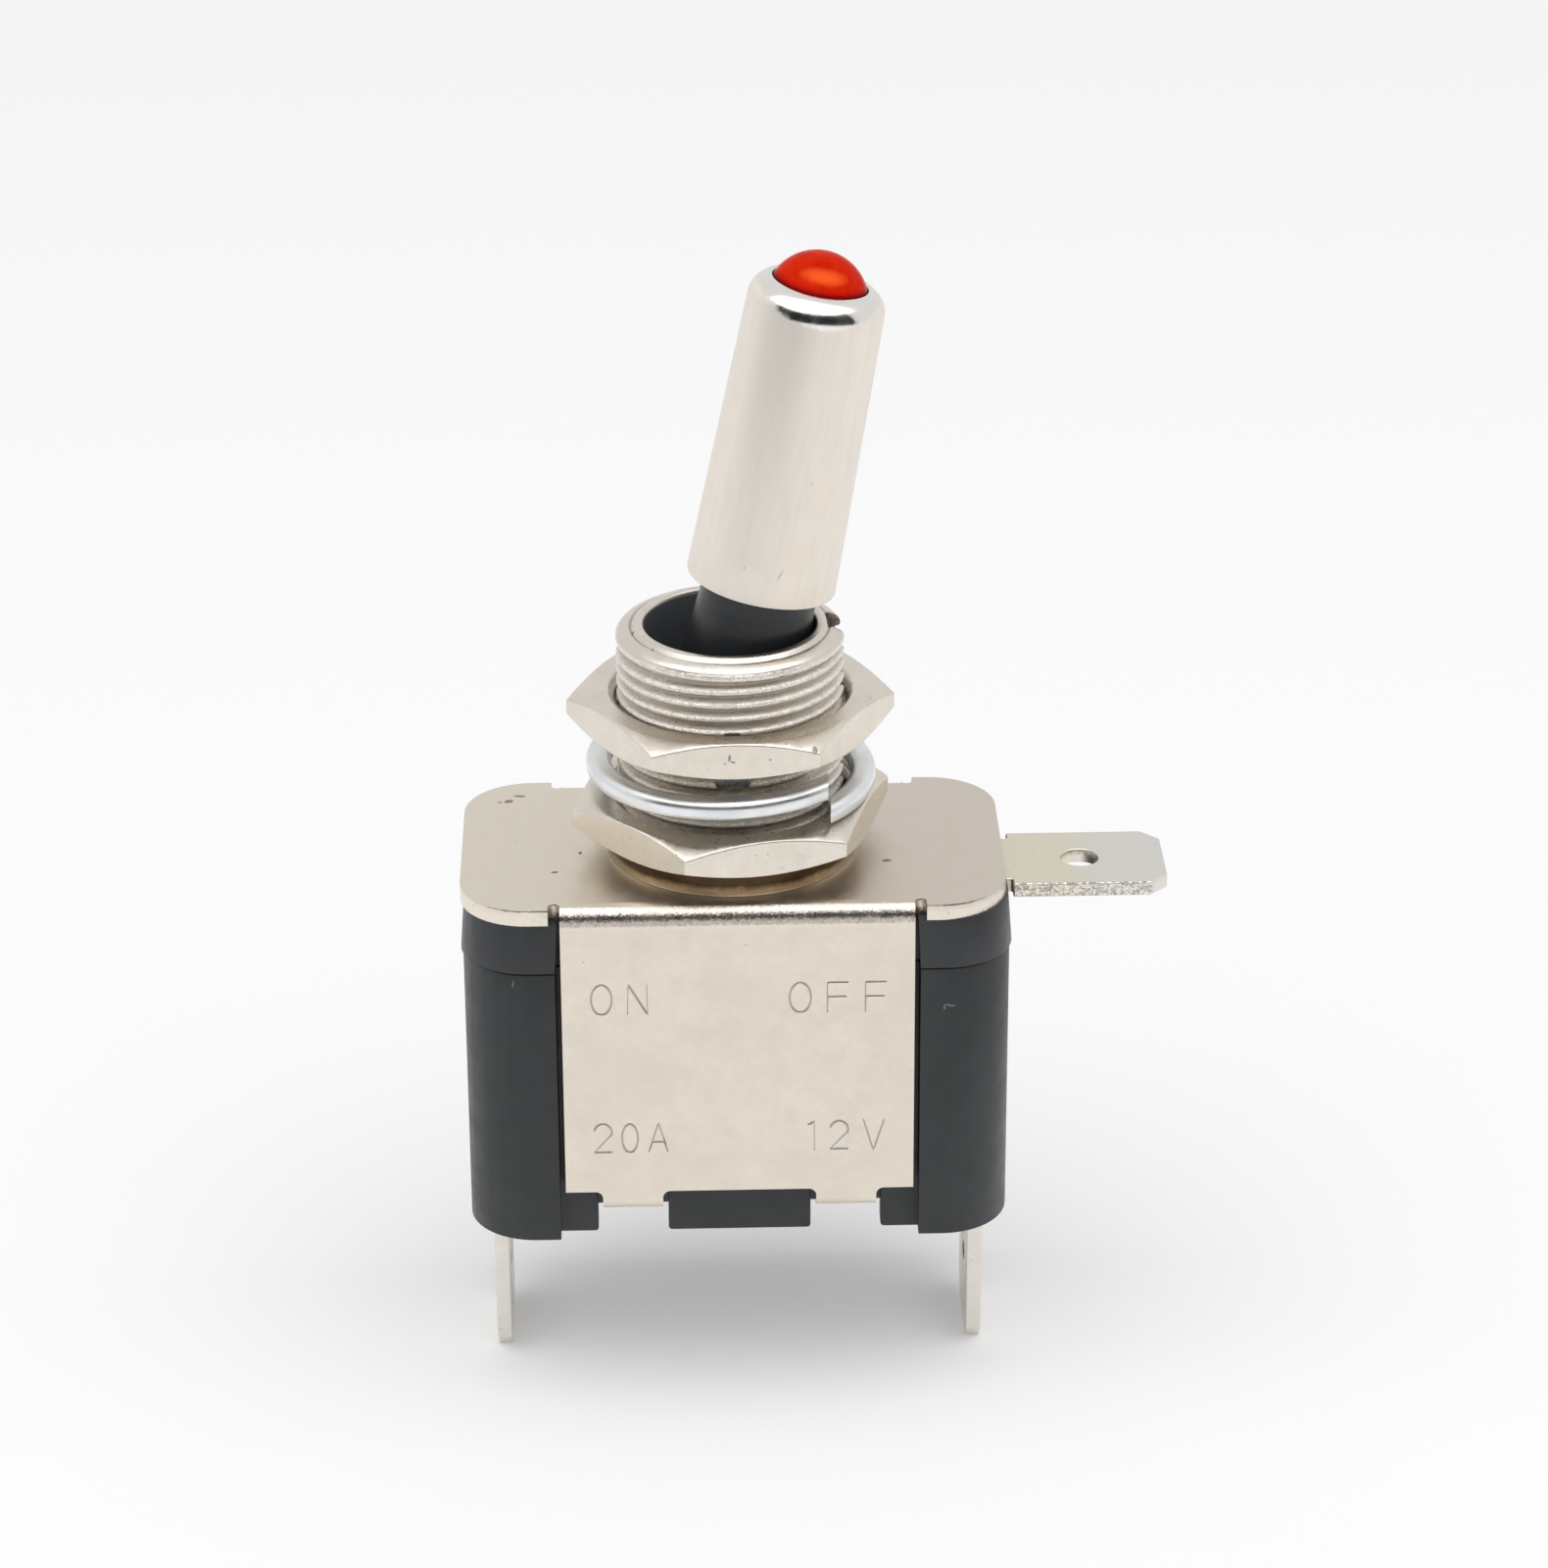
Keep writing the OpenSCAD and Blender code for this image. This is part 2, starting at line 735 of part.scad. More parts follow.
module lens() {
    top = sleeve_z + sleeve_len;
    flange_top = top - 1.2 - 0.02;
    dome_r = (pow(lens_d / 2, 2) + pow(lens_h, 2)) / (2 * lens_h);
    color("#d6300c")
        on_lever()
            difference() {
                union() {
                    translate([0, 0, flange_top - 0.8])
                        cylinder(r = stem_d / 2 - 0.05, h = 0.8);
                    translate([0, 0, flange_top - eps])
                        cylinder(d = lens_d, h = top - flange_top + 2 * eps);
                    intersection() {
                        translate([0, 0, top + lens_h - dome_r])
                            sphere(r = dome_r);
                        translate([0, 0, top])
                            cylinder(d = lens_d, h = lens_h + 1);
                    }
                }
                translate([0, 0, flange_top - 2])
                    cylinder(r = 1.65, h = 2.6);
            }
}

module led() {
    color("#d94a38")
        on_lever() {
            translate([0, 0, stem_top + 0.02])
                cylinder(r = 1.9, h = 0.8);
            translate([0, 0, stem_top + 0.02])
                cylinder(r = 1.5, h = 3);
            translate([0, 0, stem_top + 3.02])
                sphere(r = 1.5);
        }
}

module led_resistor() {
    top = stem_top - 3;
    color("#3f78a8")
        on_lever() {
            translate([-0.6, 0, top - 3.4])
                cylinder(r = 0.85, h = 3.4);
            wire([
                [-0.6, top - 3], [-0.6, 5.2], [-1.75, 3.6], [-1.75, spring_top + 0.6],
                [-1.2, spring_top - 0.05]
            ], 0.22);
        }
}

module anode_lead() {
    color("#c8c8c4")
        on_lever()
            translate([-0.6, 0, stem_top - 3 + 0.01])
                cylinder(r = 0.22, h = 3);
}

module cathode_lead() {
    color("#c8c8c4")
        on_lever()
            translate([0.8, 0, 0.86])
                cylinder(r = 0.22, h = stem_top - 0.86);
}

module plunger_spring() {
    steps = spring_turns * 16;
    mid_r = plunger_d / 2 - spring_wire / 2 - 0.1;
    low = plunger_top + spring_wire / 2 + 0.02;
    high = spring_top - spring_wire / 2 - 0.3;
    color("#b8bcc0")
        on_lever()
            ring_tube([
                for (k = [0 : steps])
                    let (turn = -360 * spring_turns * k / steps)
                        [
                            for (i = [0 : 7])
                                let (reach = mid_r + spring_wire / 2 * cos(45 * i))
                                    [
                                        reach * cos(turn),
                                        reach * sin(turn),
                                        low + (high - low) * k / steps + spring_wire / 2 * sin(45 * i)
                                    ]
                        ]
            ]);
}

module plunger() {
    color("#c79a4b")
        on_lever() {
            translate([0, 0, plunger_top - 4.8])
                cylinder(d = plunger_d, h = 4.8);
            translate([0, 0, -tip_centre])
                cylinder(r1 = tip_r, r2 = plunger_d / 2, h = tip_centre + plunger_top - 4.8);
            translate([0, 0, -tip_centre])
                sphere(r = tip_r);
        }
}

module rocker_contact() {
    color("#c58a52")
        on_rocker()
            difference() {
                for (side = [0, 1])
                    mirror([side, 0, 0])
                        rotate([0, -wing_rise, 0])
                            translate([0, -rocker_w / 2, axis_under])
                                cube([wing_len, rocker_w, rocker_t]);
                rotate([90, 0, 0])
                    cylinder(r = fulcrum_r + fit, h = 2 * rocker_w, center = true);
                rotate([0, -wing_rise, 0])
                    translate([contact_x, 0, -1])
                        cylinder(r = 0.8, h = 4);
            }
}

module moving_contact() {
    color("#d6d6d2")
        on_rocker()
            rotate([0, -wing_rise, 0])
                translate([contact_x, 0, axis_under])
                    rivet(rocker_t);
}

base_housing();
housing_lid();
cover_frame();
bushing();
pivot_pin();
load_terminal();
supply_terminal();
fixed_contact();
ground_terminal();
lower_nut();
lock_washer();
upper_nut();
lever_stem();
lever_sleeve();
lens();
led();
led_resistor();
anode_lead();
cathode_lead();
plunger_spring();
plunger();
rocker_contact();
moving_contact();
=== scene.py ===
"""Looks of the illuminated panel toggle switch: finishes, the cut thread, the stamped lettering,
the wound parts, a plain white studio and the camera.

Lengths are in millimetres until mm() turns them into metres."""

import itertools
import math

import bmesh
import bpy
from mathutils import Matrix, Vector


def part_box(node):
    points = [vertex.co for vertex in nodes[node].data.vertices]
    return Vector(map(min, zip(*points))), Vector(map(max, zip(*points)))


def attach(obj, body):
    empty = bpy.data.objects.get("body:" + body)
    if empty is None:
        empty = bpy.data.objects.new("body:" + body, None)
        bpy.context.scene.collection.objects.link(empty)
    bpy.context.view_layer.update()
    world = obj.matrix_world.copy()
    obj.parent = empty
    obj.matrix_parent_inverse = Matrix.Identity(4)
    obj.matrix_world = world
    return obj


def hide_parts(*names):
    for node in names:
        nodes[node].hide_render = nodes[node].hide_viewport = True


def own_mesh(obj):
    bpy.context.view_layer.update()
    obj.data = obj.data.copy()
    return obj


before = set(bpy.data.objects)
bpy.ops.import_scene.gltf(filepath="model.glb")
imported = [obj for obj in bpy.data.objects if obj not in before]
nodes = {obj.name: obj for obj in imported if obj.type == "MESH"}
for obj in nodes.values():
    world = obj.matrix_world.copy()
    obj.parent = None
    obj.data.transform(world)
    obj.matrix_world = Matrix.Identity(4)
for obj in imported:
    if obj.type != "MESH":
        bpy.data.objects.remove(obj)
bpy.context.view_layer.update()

LEAN = 10.8  # the lever's tilt towards OFF, in degrees
PIVOT_Z = 6.5
SKIRT_Y = -7.9  # outer face of the front skirt
PARTING_Z = -3.75  # where the upper ring of the case meets the case
LID_H = 2.85
FLOOR_Z = -29.4  # tips of the lower blades
CASE_X = 0.15  # the case sits this far off the bushing's axis
NOTCH_X = 5.68  # middle of a crimp tab, from the middle of the case
LENS_BASE = 25.35  # where the dome leaves the sleeve, along the upright lever
FULL_TURN = 2 * math.pi


def mm(*values):
    """Millimetres as metres: one number, or a vector of three."""
    scaled = [v * 0.001 for v in values]
    return scaled[0] if len(scaled) == 1 else Vector(scaled)


def polar(radius, angle):
    """The two coordinates of a point at an angle in radians."""
    return radius * math.cos(angle), radius * math.sin(angle)


def lever_turn():
    """Turns the upright lever about its pivot to where it rests."""
    return Matrix.Translation(mm(0, 0, PIVOT_Z)) @ Matrix.Rotation(math.radians(LEAN), 4, "Y")


# ---------- camera


def make_camera():
    """The camera at the photograph's viewing angle: nearly square on, looking down at 25 degrees."""
    azimuth, elevation, roll = (math.radians(a) for a in (-1.46, 24.851, -0.257))
    ahead, aside = math.cos(elevation) * math.cos(azimuth), math.cos(elevation) * math.sin(azimuth)
    back = Vector((aside, -ahead, math.sin(elevation)))
    level = Vector((math.cos(azimuth), math.sin(azimuth), 0))
    upright = back.cross(level)
    right = level * math.cos(roll) + upright * math.sin(roll)
    up = upright * math.cos(roll) - level * math.sin(roll)
    data = bpy.data.cameras.new("camera")
    data.lens = 114.34
    data.sensor_width = 36
    data.clip_start, data.clip_end = 0.01, 20
    camera = bpy.data.objects.new("camera", data)
    bpy.context.scene.collection.objects.link(camera)
    turn = Matrix((right, up, back)).transposed().to_4x4()
    target, distance = mm(2.274, 0, 3.377), mm(264.019)
    camera.matrix_world = Matrix.Translation(target + back * distance) @ turn
    bpy.context.scene.camera = camera


make_camera()


# ---------- node graphs


class Graph:
    """A node tree, with short names for what is added to it."""

    def __init__(self, tree):
        self.tree = tree

    def add(self, kind, **options):
        node = self.tree.nodes.new(kind)
        for name, value in options.items():
            setattr(node, name, value)
        return node

    def feed(self, socket, value):
        """Links a socket, or sets it when the value is a plain number or colour."""
        if isinstance(value, bpy.types.NodeSocket):
            self.tree.links.new(value, socket)
        elif socket.type == "RGBA" and len(value) == 3:
            socket.default_value = (*value, 1)
        else:
            socket.default_value = value

    def maths(self, operation, a, b=0.0, c=0.0):
        node = self.add("ShaderNodeMath", operation=operation)
        for socket, value in zip(node.inputs, (a, b, c)):
            self.feed(socket, value)
        return node.outputs[0]

    def mix(self, share, a, b):
        """Colour a where share is 0, b where it is 1."""
        node = self.add("ShaderNodeMix", data_type="RGBA")
        self.feed(node.inputs[0], share)
        self.feed(node.inputs[6], a)
        self.feed(node.inputs[7], b)
        return node.outputs[2]


class Finish(Graph):
    """A material whose patterns are written in millimetres of the object's own frame."""

    def __init__(self, name, metallic=0.0, along_lever=False, **fixed):
        self.material = bpy.data.materials.new(name)
        self.material.use_nodes = True
        super().__init__(self.material.node_tree)
        self.tree.nodes.clear()
        self.shader = self.add("ShaderNodeBsdfPrincipled")
        output = self.add("ShaderNodeOutputMaterial")
        self.tree.links.new(self.shader.outputs["BSDF"], output.inputs["Surface"])
        self.shader.inputs["Metallic"].default_value = metallic
        for socket, value in fixed.items():
            self.shader.inputs[socket.replace("_", " ")].default_value = value
        place = self.add("ShaderNodeMapping")
        place.inputs["Scale"].default_value = (1000, 1000, 1000)
        if along_lever:
            turn = Matrix.Rotation(math.radians(-LEAN), 4, "Y")
            place.inputs["Rotation"].default_value = (0, math.radians(-LEAN), 0)
            place.inputs["Location"].default_value = -(turn @ Vector((0, 0, PIVOT_Z)))
        self.tree.links.new(self.add("ShaderNodeTexCoord").outputs["Object"], place.inputs["Vector"])
        self.place = place.outputs["Vector"]
        axes = self.add("ShaderNodeSeparateXYZ")
        self.tree.links.new(self.place, axes.inputs[0])
        self.x, self.y, self.z = (axes.outputs[k] for k in "XYZ")
        self.normal = None

    def plus(self, a, b):
        return self.maths("ADD", a, b)

    def minus(self, a, b):
        return self.maths("SUBTRACT", a, b)

    def times(self, *factors):
        result = factors[0]
        for factor in factors[1:]:
            result = self.maths("MULTIPLY", result, factor)
        return result

    def most(self, *masks):
        result = masks[0]
        for other in masks[1:]:
            result = self.maths("MAXIMUM", result, other)
        return result

    def away(self, value, centre=0.0):
        """How far value is from centre."""
        return self.maths("ABSOLUTE", self.minus(value, centre) if centre else value)

    def vector(self, operation, a, b=(0, 0, 0)):
        node = self.add("ShaderNodeVectorMath", operation=operation)
        self.feed(node.inputs[0], a)
        self.feed(node.inputs[1], b)
        return node.outputs["Value" if operation == "LENGTH" else "Vector"]

    def radius(self):
        """Distance from the bushing's axis."""
        return self.vector("LENGTH", self.vector("MULTIPLY", self.place, (1, 1, 0)))

    def scaled(self, size, stretch):
        return self.vector("MULTIPLY", self.place, tuple(1 / (size * s) for s in stretch))

    def noise(self, size, detail=3.0, rough=0.55, stretch=(1, 1, 1), shift=0.0):
        """Noise from 0 to 1 whose lumps are about size across, longer where stretch is over 1."""
        node = self.add("ShaderNodeTexNoise")
        node.inputs["Scale"].default_value = 1
        node.inputs["Detail"].default_value = detail
        node.inputs["Roughness"].default_value = rough
        moved = self.vector("ADD", self.scaled(size, stretch), (shift, shift * 0.7, shift * 1.3))
        self.feed(node.inputs["Vector"], moved)
        return node.outputs["Fac"]

    def cells(self, size, stretch=(1, 1, 1)):
        """Distance to the nearest of scattered points, for specks and pits."""
        node = self.add("ShaderNodeTexVoronoi")
        node.inputs["Scale"].default_value = 1
        self.feed(node.inputs["Vector"], self.scaled(size, stretch))
        return node.outputs["Distance"]

    def remap(self, value, low, high, to_low=0.0, to_high=1.0):
        node = self.add("ShaderNodeMapRange", interpolation_type="SMOOTHSTEP")
        for socket, number in zip(node.inputs, (value, low, high, to_low, to_high)):
            self.feed(socket, number)
        return node.outputs["Result"]

    def within(self, value, rise, fall):
        """1 between two soft limits, each given as where the mask is 0 and where it is 1."""
        return self.times(self.remap(value, *rise), self.remap(value, *fall))

    def mix_value(self, share, a, b):
        node = self.add("ShaderNodeMix", data_type="FLOAT")
        self.feed(node.inputs[0], share)
        self.feed(node.inputs[2], a)
        self.feed(node.inputs[3], b)
        return node.outputs[0]

    def stain(self, tint, mask, strength, colour):
        """tint with colour over it where mask is 1, covering it by strength."""
        return self.mix(self.times(mask, strength), tint, colour)

    def spot(self, centre, half, turn=0.0, ragged=0.5):
        """A ragged mark in the object's frame: 1 at its centre, 0 outside its half sizes.

        It turns about the axis along which it is drawn through the piece."""
        angle = math.radians(turn)
        node = self.add("ShaderNodeMapping", vector_type="TEXTURE")
        node.inputs["Location"].default_value = centre
        node.inputs["Rotation"].default_value = (0, 0, angle) if half[2] > half[1] else (0, angle, 0)
        node.inputs["Scale"].default_value = half
        self.feed(node.inputs["Vector"], self.place)
        distance = self.vector("LENGTH", node.outputs["Vector"])
        torn = self.maths("MULTIPLY_ADD", self.noise(0.18, 4, 0.7), ragged * 2, self.minus(distance, ragged))
        return self.remap(torn, 1.0, 0.6)

    def spots(self, *marks):
        """Marks that are given as the arguments of spot()."""
        return self.most(*(self.spot(*mark) for mark in marks))

    def bump(self, height, depth):
        """Adds relief: height is 0 to 1 and depth is its size in millimetres."""
        node = self.add("ShaderNodeBump")
        node.inputs["Strength"].default_value = 1
        node.inputs["Distance"].default_value = mm(depth)
        self.feed(node.inputs["Height"], height)
        if self.normal is not None:
            self.feed(node.inputs["Normal"], self.normal)
        self.normal = node.outputs["Normal"]

    def finish(self, colour, roughness):
        self.feed(self.shader.inputs["Base Color"], colour)
        self.feed(self.shader.inputs["Roughness"], roughness)
        if self.normal is not None:
            self.feed(self.shader.inputs["Normal"], self.normal)
        return self.material


# ---------- metals


def plated_sheet():
    """Satin nickel plate of the pressed cover: fine grain, faint clouds, polished bends and scuffs."""
    f = Finish("nickel_sheet", metallic=1.0)
    clouds = f.noise(5.0, 3, 0.6)
    tint = f.mix(f.remap(clouds, 0.35, 0.68), (0.835, 0.755, 0.655), (0.80, 0.735, 0.65))
    # the top of the plate has its own tint, darker and a little yellower than the skirts, and it darkens
    # towards its OFF end, which is painted shade
    plate = f.mix(f.remap(f.x, -9.0, 13.0), (0.79, 0.725, 0.62), (0.70, 0.63, 0.55))
    tint = f.mix(f.remap(f.z, -0.5, -0.1), tint, plate)
    tint = f.mix(f.remap(f.noise(0.35, 3, 0.7), 0.35, 0.75, 0.0, 0.16), tint, (0.68, 0.62, 0.545))
    scuffs = f.spots(
        ((-11.99, 5.55, 0), (0.30, 0.26, 9), 20, 0.4),
        ((-11.40, 6.20, 0), (0.42, 0.15, 9), -12, 0.45),
        ((-12.45, 5.45, 0), (0.16, 0.10, 9), 40, 0.5),
        ((-8.06, -1.05, 0), (0.11, 0.20, 9), 0, 0.35),
        ((8.16, -2.54, 0), (0.30, 0.20, 9), 10, 0.4),
        ((-9.38, -3.36, 0), (0.24, 0.16, 9), 10, 0.75),
    )
    tint = f.stain(tint, scuffs, 0.75, (0.17, 0.13, 0.095))
    # the outside of the bend is stretched and grainy; the darker band below its bright line is painted
    # shade, the dark room mirrored in the bend, broken up by the grain
    grain = f.noise(0.16, 4, 0.8, (0.7, 1, 1), 4.0)
    bend = f.remap(f.away(f.y), -SKIRT_Y - 0.85, -SKIRT_Y - 0.6)
    bend = f.times(bend, f.maths("LESS_THAN", f.away(f.x), 9.45))
    level = f.plus(f.z, f.times(grain, 0.25))
    dark = f.times(bend, f.within(level, (-0.34, -0.46), (-0.96, -0.80)))
    tint = f.stain(tint, dark, f.remap(grain, 0.35, 0.6, 0.3, 0.72), (0.30, 0.265, 0.235))
    # painted shade over the bend's bright line, which tones that highlight down
    dimmed_highlight = f.times(bend, f.within(level, (-0.46, -0.34), (0.10, 0.0)))
    tint = f.stain(tint, dimmed_highlight, f.remap(grain, 0.3, 0.65, 0.2, 0.6), (0.56, 0.505, 0.46))
    # the stamped strokes are darkened inside, which is painted shade in the grooves
    stamped = f.within(f.y, (SKIRT_Y + 0.006, SKIRT_Y + 0.028), (SKIRT_Y + 0.3, SKIRT_Y + 0.2))
    stamped = f.times(stamped, f.maths("LESS_THAN", f.away(f.x), 8.3))
    stamped = f.times(stamped, f.within(f.z, (-3.6, -4.0), (-15.2, -14.9)))
    tint = f.stain(tint, stamped, 0.6, (0.22, 0.185, 0.155))
    pits = f.remap(f.cells(1.9), 0.045, 0.02)
    tint = f.stain(tint, pits, 0.5, (0.36, 0.31, 0.26))
    # the press has burnished the metal where it folds over
    burnished = f.within(f.z, (-1.25, -0.85), (0.02, -0.12))
    drawn = f.noise(0.16, 3, 0.75, (1, 4, 2.2), 3.1)
    roughness = f.remap(f.noise(1.4, 4, 0.65), 0.25, 0.8, 0.36, 0.47)
    roughness = f.minus(roughness, f.times(burnished, 0.15))
    roughness = f.plus(roughness, f.times(scuffs, 0.25))
    f.bump(f.noise(0.11, 3, 0.7), 0.004)
    f.bump(f.noise(1.6, 2, 0.5, shift=4.0), 0.006)
    f.bump(f.times(drawn, burnished), 0.05)
    f.bump(scuffs, 0.03)
    return f.finish(tint, roughness)


def tumbled(name, colour, dark):
    """The start of a turned and tumbled nickel finish, with its tint, its nicks and its roughness."""
    f = Finish(name, metallic=1.0)
    clouds = f.noise(2.2, 4, 0.6, shift=2.0)
    tint = f.mix(f.remap(clouds, 0.3, 0.72), colour, tuple(c * 0.93 for c in colour))
    nicks = f.remap(f.noise(0.22, 4, 0.75, (2.5, 2.5, 1), 7.0), 0.66, 0.74)
    specks = f.remap(f.cells(0.9, (1.4, 1.4, 1)), 0.07, 0.03)
    tint = f.stain(tint, specks, 0.7, dark)
    tint = f.stain(tint, nicks, 0.35, dark)
    roughness = f.remap(f.noise(0.7, 4, 0.7, shift=1.0), 0.25, 0.8, 0.24, 0.40)
    return f, tint, nicks, roughness


def nut_nickel():
    """The nuts: tumbled plate with a few dents on their front flats."""
    f, tint, nicks, roughness = tumbled("nickel_nuts", (0.80, 0.74, 0.65), (0.28, 0.23, 0.17))
    dents = f.spots(
        ((-0.19, -7.5, 8.35), (0.08, 0.4, 0.22), 8, 0.35),
        ((-0.02, -7.5, 8.12), (0.13, 0.4, 0.07), 20, 0.4),
        ((-0.42, -7.5, 8.02), (0.06, 0.4, 0.05), 0, 0.3),
        ((4.20, -7.4, 8.62), (0.14, 0.5, 0.17), 30, 0.4),
        ((1.90, -7.5, 8.20), (0.07, 0.4, 0.06), 0, 0.3),
    )
    tint = f.stain(tint, dents, 0.7, (0.22, 0.18, 0.15))
    f.bump(dents, 0.05)
    f.bump(f.noise(0.25, 3, 0.7, shift=5.0), 0.009)
    f.bump(nicks, 0.02)
    return f.finish(tint, roughness)


def bushing_nickel():
    """The bushing: lathe rings, a worn thread with crests lightened by rubbing and painted highlight and
    darker hollows, a keyway darkened with painted shade, brass at the collar with painted shadow under the
    nut.
    """
    f, tint, nicks, roughness = tumbled("nickel_turned", (0.78, 0.725, 0.645), (0.24, 0.19, 0.14))
    radius = f.radius()
    threaded = f.times(f.remap(radius, 5.45, 5.55), f.within(f.z, (1.7, 1.9), (12.3, 12.1)))
    worn = f.noise(0.17, 4, 0.8, (1.6, 1.6, 1), 3.0)
    # darker towards the roots of the thread
    tint = f.stain(tint, threaded, f.remap(radius, 5.85, 5.65, 0, 0.45), (0.40, 0.335, 0.265))
    # the crests are lightened, partly plating rubbed bright and partly painted highlight
    crest = f.times(threaded, f.remap(radius, 5.82, 5.93))
    rubbed = f.remap(f.noise(0.30, 3, 0.7, shift=7.0), 0.35, 0.6, 0.25, 0.95)
    tint = f.stain(tint, crest, rubbed, (0.93, 0.90, 0.85))
    roughness = f.minus(roughness, f.times(crest, 0.06))
    f.bump(f.times(worn, threaded), 0.07)
    # the groove between the rim and the rolled edge inside it
    seam = f.times(f.remap(f.away(radius, 5.235), 0.075, 0.03), f.remap(f.z, 12.4, 12.5))
    tint = f.stain(tint, seam, 0.6, (0.30, 0.235, 0.19))
    marks = f.spots(
        ((0.0, -6.0, 8.95), (0.62, 0.5, 0.17), 0, 0.4),
        ((-5.07, -1.05, 12.8), (0.10, 0.16, 0.4), 0, 0.3),
        ((-0.70, -5.25, 12.6), (0.22, 0.12, 0.4), 0, 0.4),
        ((-4.07, -3.28, 12.8), (0.12, 0.12, 0.4), 0, 0.4),
        ((2.6, -5.4, 11.9), (0.14, 0.4, 0.10), 0, 0.4),
    )
    tint = f.stain(tint, marks, 0.85, (0.07, 0.05, 0.04))
    # painted shade in the keyway, seen from above on the OFF side
    keyway_shade = f.times(f.remap(f.x, 4.85, 4.95), f.remap(f.away(f.y, 0.38), 1.14, 1.06))
    keyway_shade = f.times(keyway_shade, f.within(f.z, (1.55, 1.75), (12.75, 12.4)), f.remap(f.x, 5.92, 5.80))
    tint = f.stain(tint, keyway_shade, 0.8, (0.15, 0.12, 0.10))
    # the collar's plating is thin and lets the brass show; its upper part, up under the nut, is darkened
    # almost to black, which is painted shadow of the nut's overhang
    collar = f.times(f.remap(f.z, 1.46, 1.40), f.remap(radius, 6.3, 6.5))
    ragged = f.plus(f.z, f.times(f.noise(0.9, 3, 0.6), 0.4))
    brass = f.mix(f.remap(ragged, 0.42, 0.85), (0.46, 0.34, 0.205), (0.075, 0.045, 0.025))
    tint = f.stain(tint, collar, f.remap(f.z, 0.06, 0.13), brass)
    # the bore is dull and dark
    bore = f.times(f.remap(radius, 4.56, 4.52), f.remap(f.z, 12.75, 12.6))
    tint = f.mix(bore, tint, (0.12, 0.13, 0.14))
    roughness = f.plus(roughness, f.times(bore, 0.3))
    f.feed(f.shader.inputs["Metallic"], f.minus(1.0, bore))
    turning = f.add("ShaderNodeTexNoise", noise_dimensions="2D")
    turning.inputs["Scale"].default_value = 1
    turning.inputs["Detail"].default_value = 2
    section = f.add("ShaderNodeCombineXYZ")
    f.feed(section.inputs[0], f.times(radius, 9))
    f.feed(section.inputs[1], f.times(f.z, 9))
    f.feed(turning.inputs["Vector"], section.outputs[0])
    f.bump(turning.outputs["Fac"], 0.006)
    f.bump(f.noise(0.25, 3, 0.7, shift=5.0), 0.009)
    f.bump(nicks, 0.02)
    return f.finish(tint, roughness)


def drawn_nickel():
    """The drawn sleeve: a blasted, almost chalky wall with faint streaks along it, and a polished tip."""
    f = Finish("nickel_sleeve", along_lever=True)
    streaks = f.noise(0.5, 4, 0.65, (0.8, 0.8, 9))
    clouds = f.noise(2.4, 3, 0.6, (1, 1, 1.8), 5.0)
    tint = f.mix(f.remap(clouds, 0.32, 0.7), (0.93, 0.85, 0.75), (0.90, 0.85, 0.78))
    # painted shade: greyer down its ON side, more so towards the tip
    shade = f.within(f.x, (-3.4, -2.2), (0.6, -1.2))
    tint = f.stain(tint, shade, f.remap(f.z, 12.0, 24.0, 0.10, 0.55), (0.66, 0.61, 0.55))
    tint = f.mix(f.remap(streaks, 0.4, 0.75, 0, 0.22), tint, (0.72, 0.665, 0.595))
    pits = f.remap(f.cells(1.7, (1, 1, 1.6)), 0.05, 0.02)
    tint = f.stain(tint, pits, 0.4, (0.46, 0.41, 0.36))
    scratch = f.spot((0.55, -3.8, 10.7), (0.06, 1.2, 0.42), 14, 0.35)
    tint = f.stain(tint, scratch, 0.5, (0.40, 0.35, 0.30))
    # where the wall ends and the buffed edge begins is ragged
    ragged = f.maths("MULTIPLY_ADD", f.noise(0.5, 4, 0.7, (1, 1, 0.7), 8.0), 0.5, f.z)
    ragged = f.minus(ragged, f.times(f.x, f.x, 0.11))
    tip = f.remap(ragged, 23.95, 24.40)
    f.feed(f.shader.inputs["Metallic"], f.remap(tip, 0.0, 1.0, 0.50, 1.0))
    blasted = f.remap(f.noise(0.9, 3, 0.6, shift=2.0), 0.3, 0.75, 0.46, 0.56)
    buffed = f.remap(f.noise(0.5, 3, 0.6, (1, 1, 2), 9.0), 0.3, 0.7, 0.12, 0.22)
    tint = f.mix(tip, tint, (0.86, 0.835, 0.79))
    f.bump(streaks, 0.006)
    f.bump(f.noise(0.14, 2, 0.6), 0.003)
    return f.finish(tint, f.mix_value(tip, blasted, buffed))


def zinc_wire():
    """Bright zinc of the lock washer: bluish, with fine lines along the wire and rubbed patches."""
    f = Finish("zinc_wire", metallic=1.0)
    rub = f.noise(1.6, 4, 0.65, (1.6, 1.6, 0.7))
    tint = f.mix(f.remap(rub, 0.35, 0.7), (0.86, 0.875, 0.875), (0.76, 0.785, 0.795))
    lines = f.add("ShaderNodeTexNoise", noise_dimensions="1D")
    lines.inputs["Scale"].default_value = 7
    lines.inputs["Detail"].default_value = 3
    f.feed(lines.inputs["W"], f.plus(f.radius(), f.times(f.z, 0.6)))
    tint = f.stain(tint, f.remap(f.cells(0.8), 0.07, 0.03), 0.6, (0.30, 0.32, 0.34))
    f.bump(lines.outputs["Fac"], 0.012)
    f.bump(f.noise(0.3, 3, 0.7, shift=3.0), 0.008)
    return f.finish(tint, f.remap(rub, 0.25, 0.8, 0.28, 0.42))


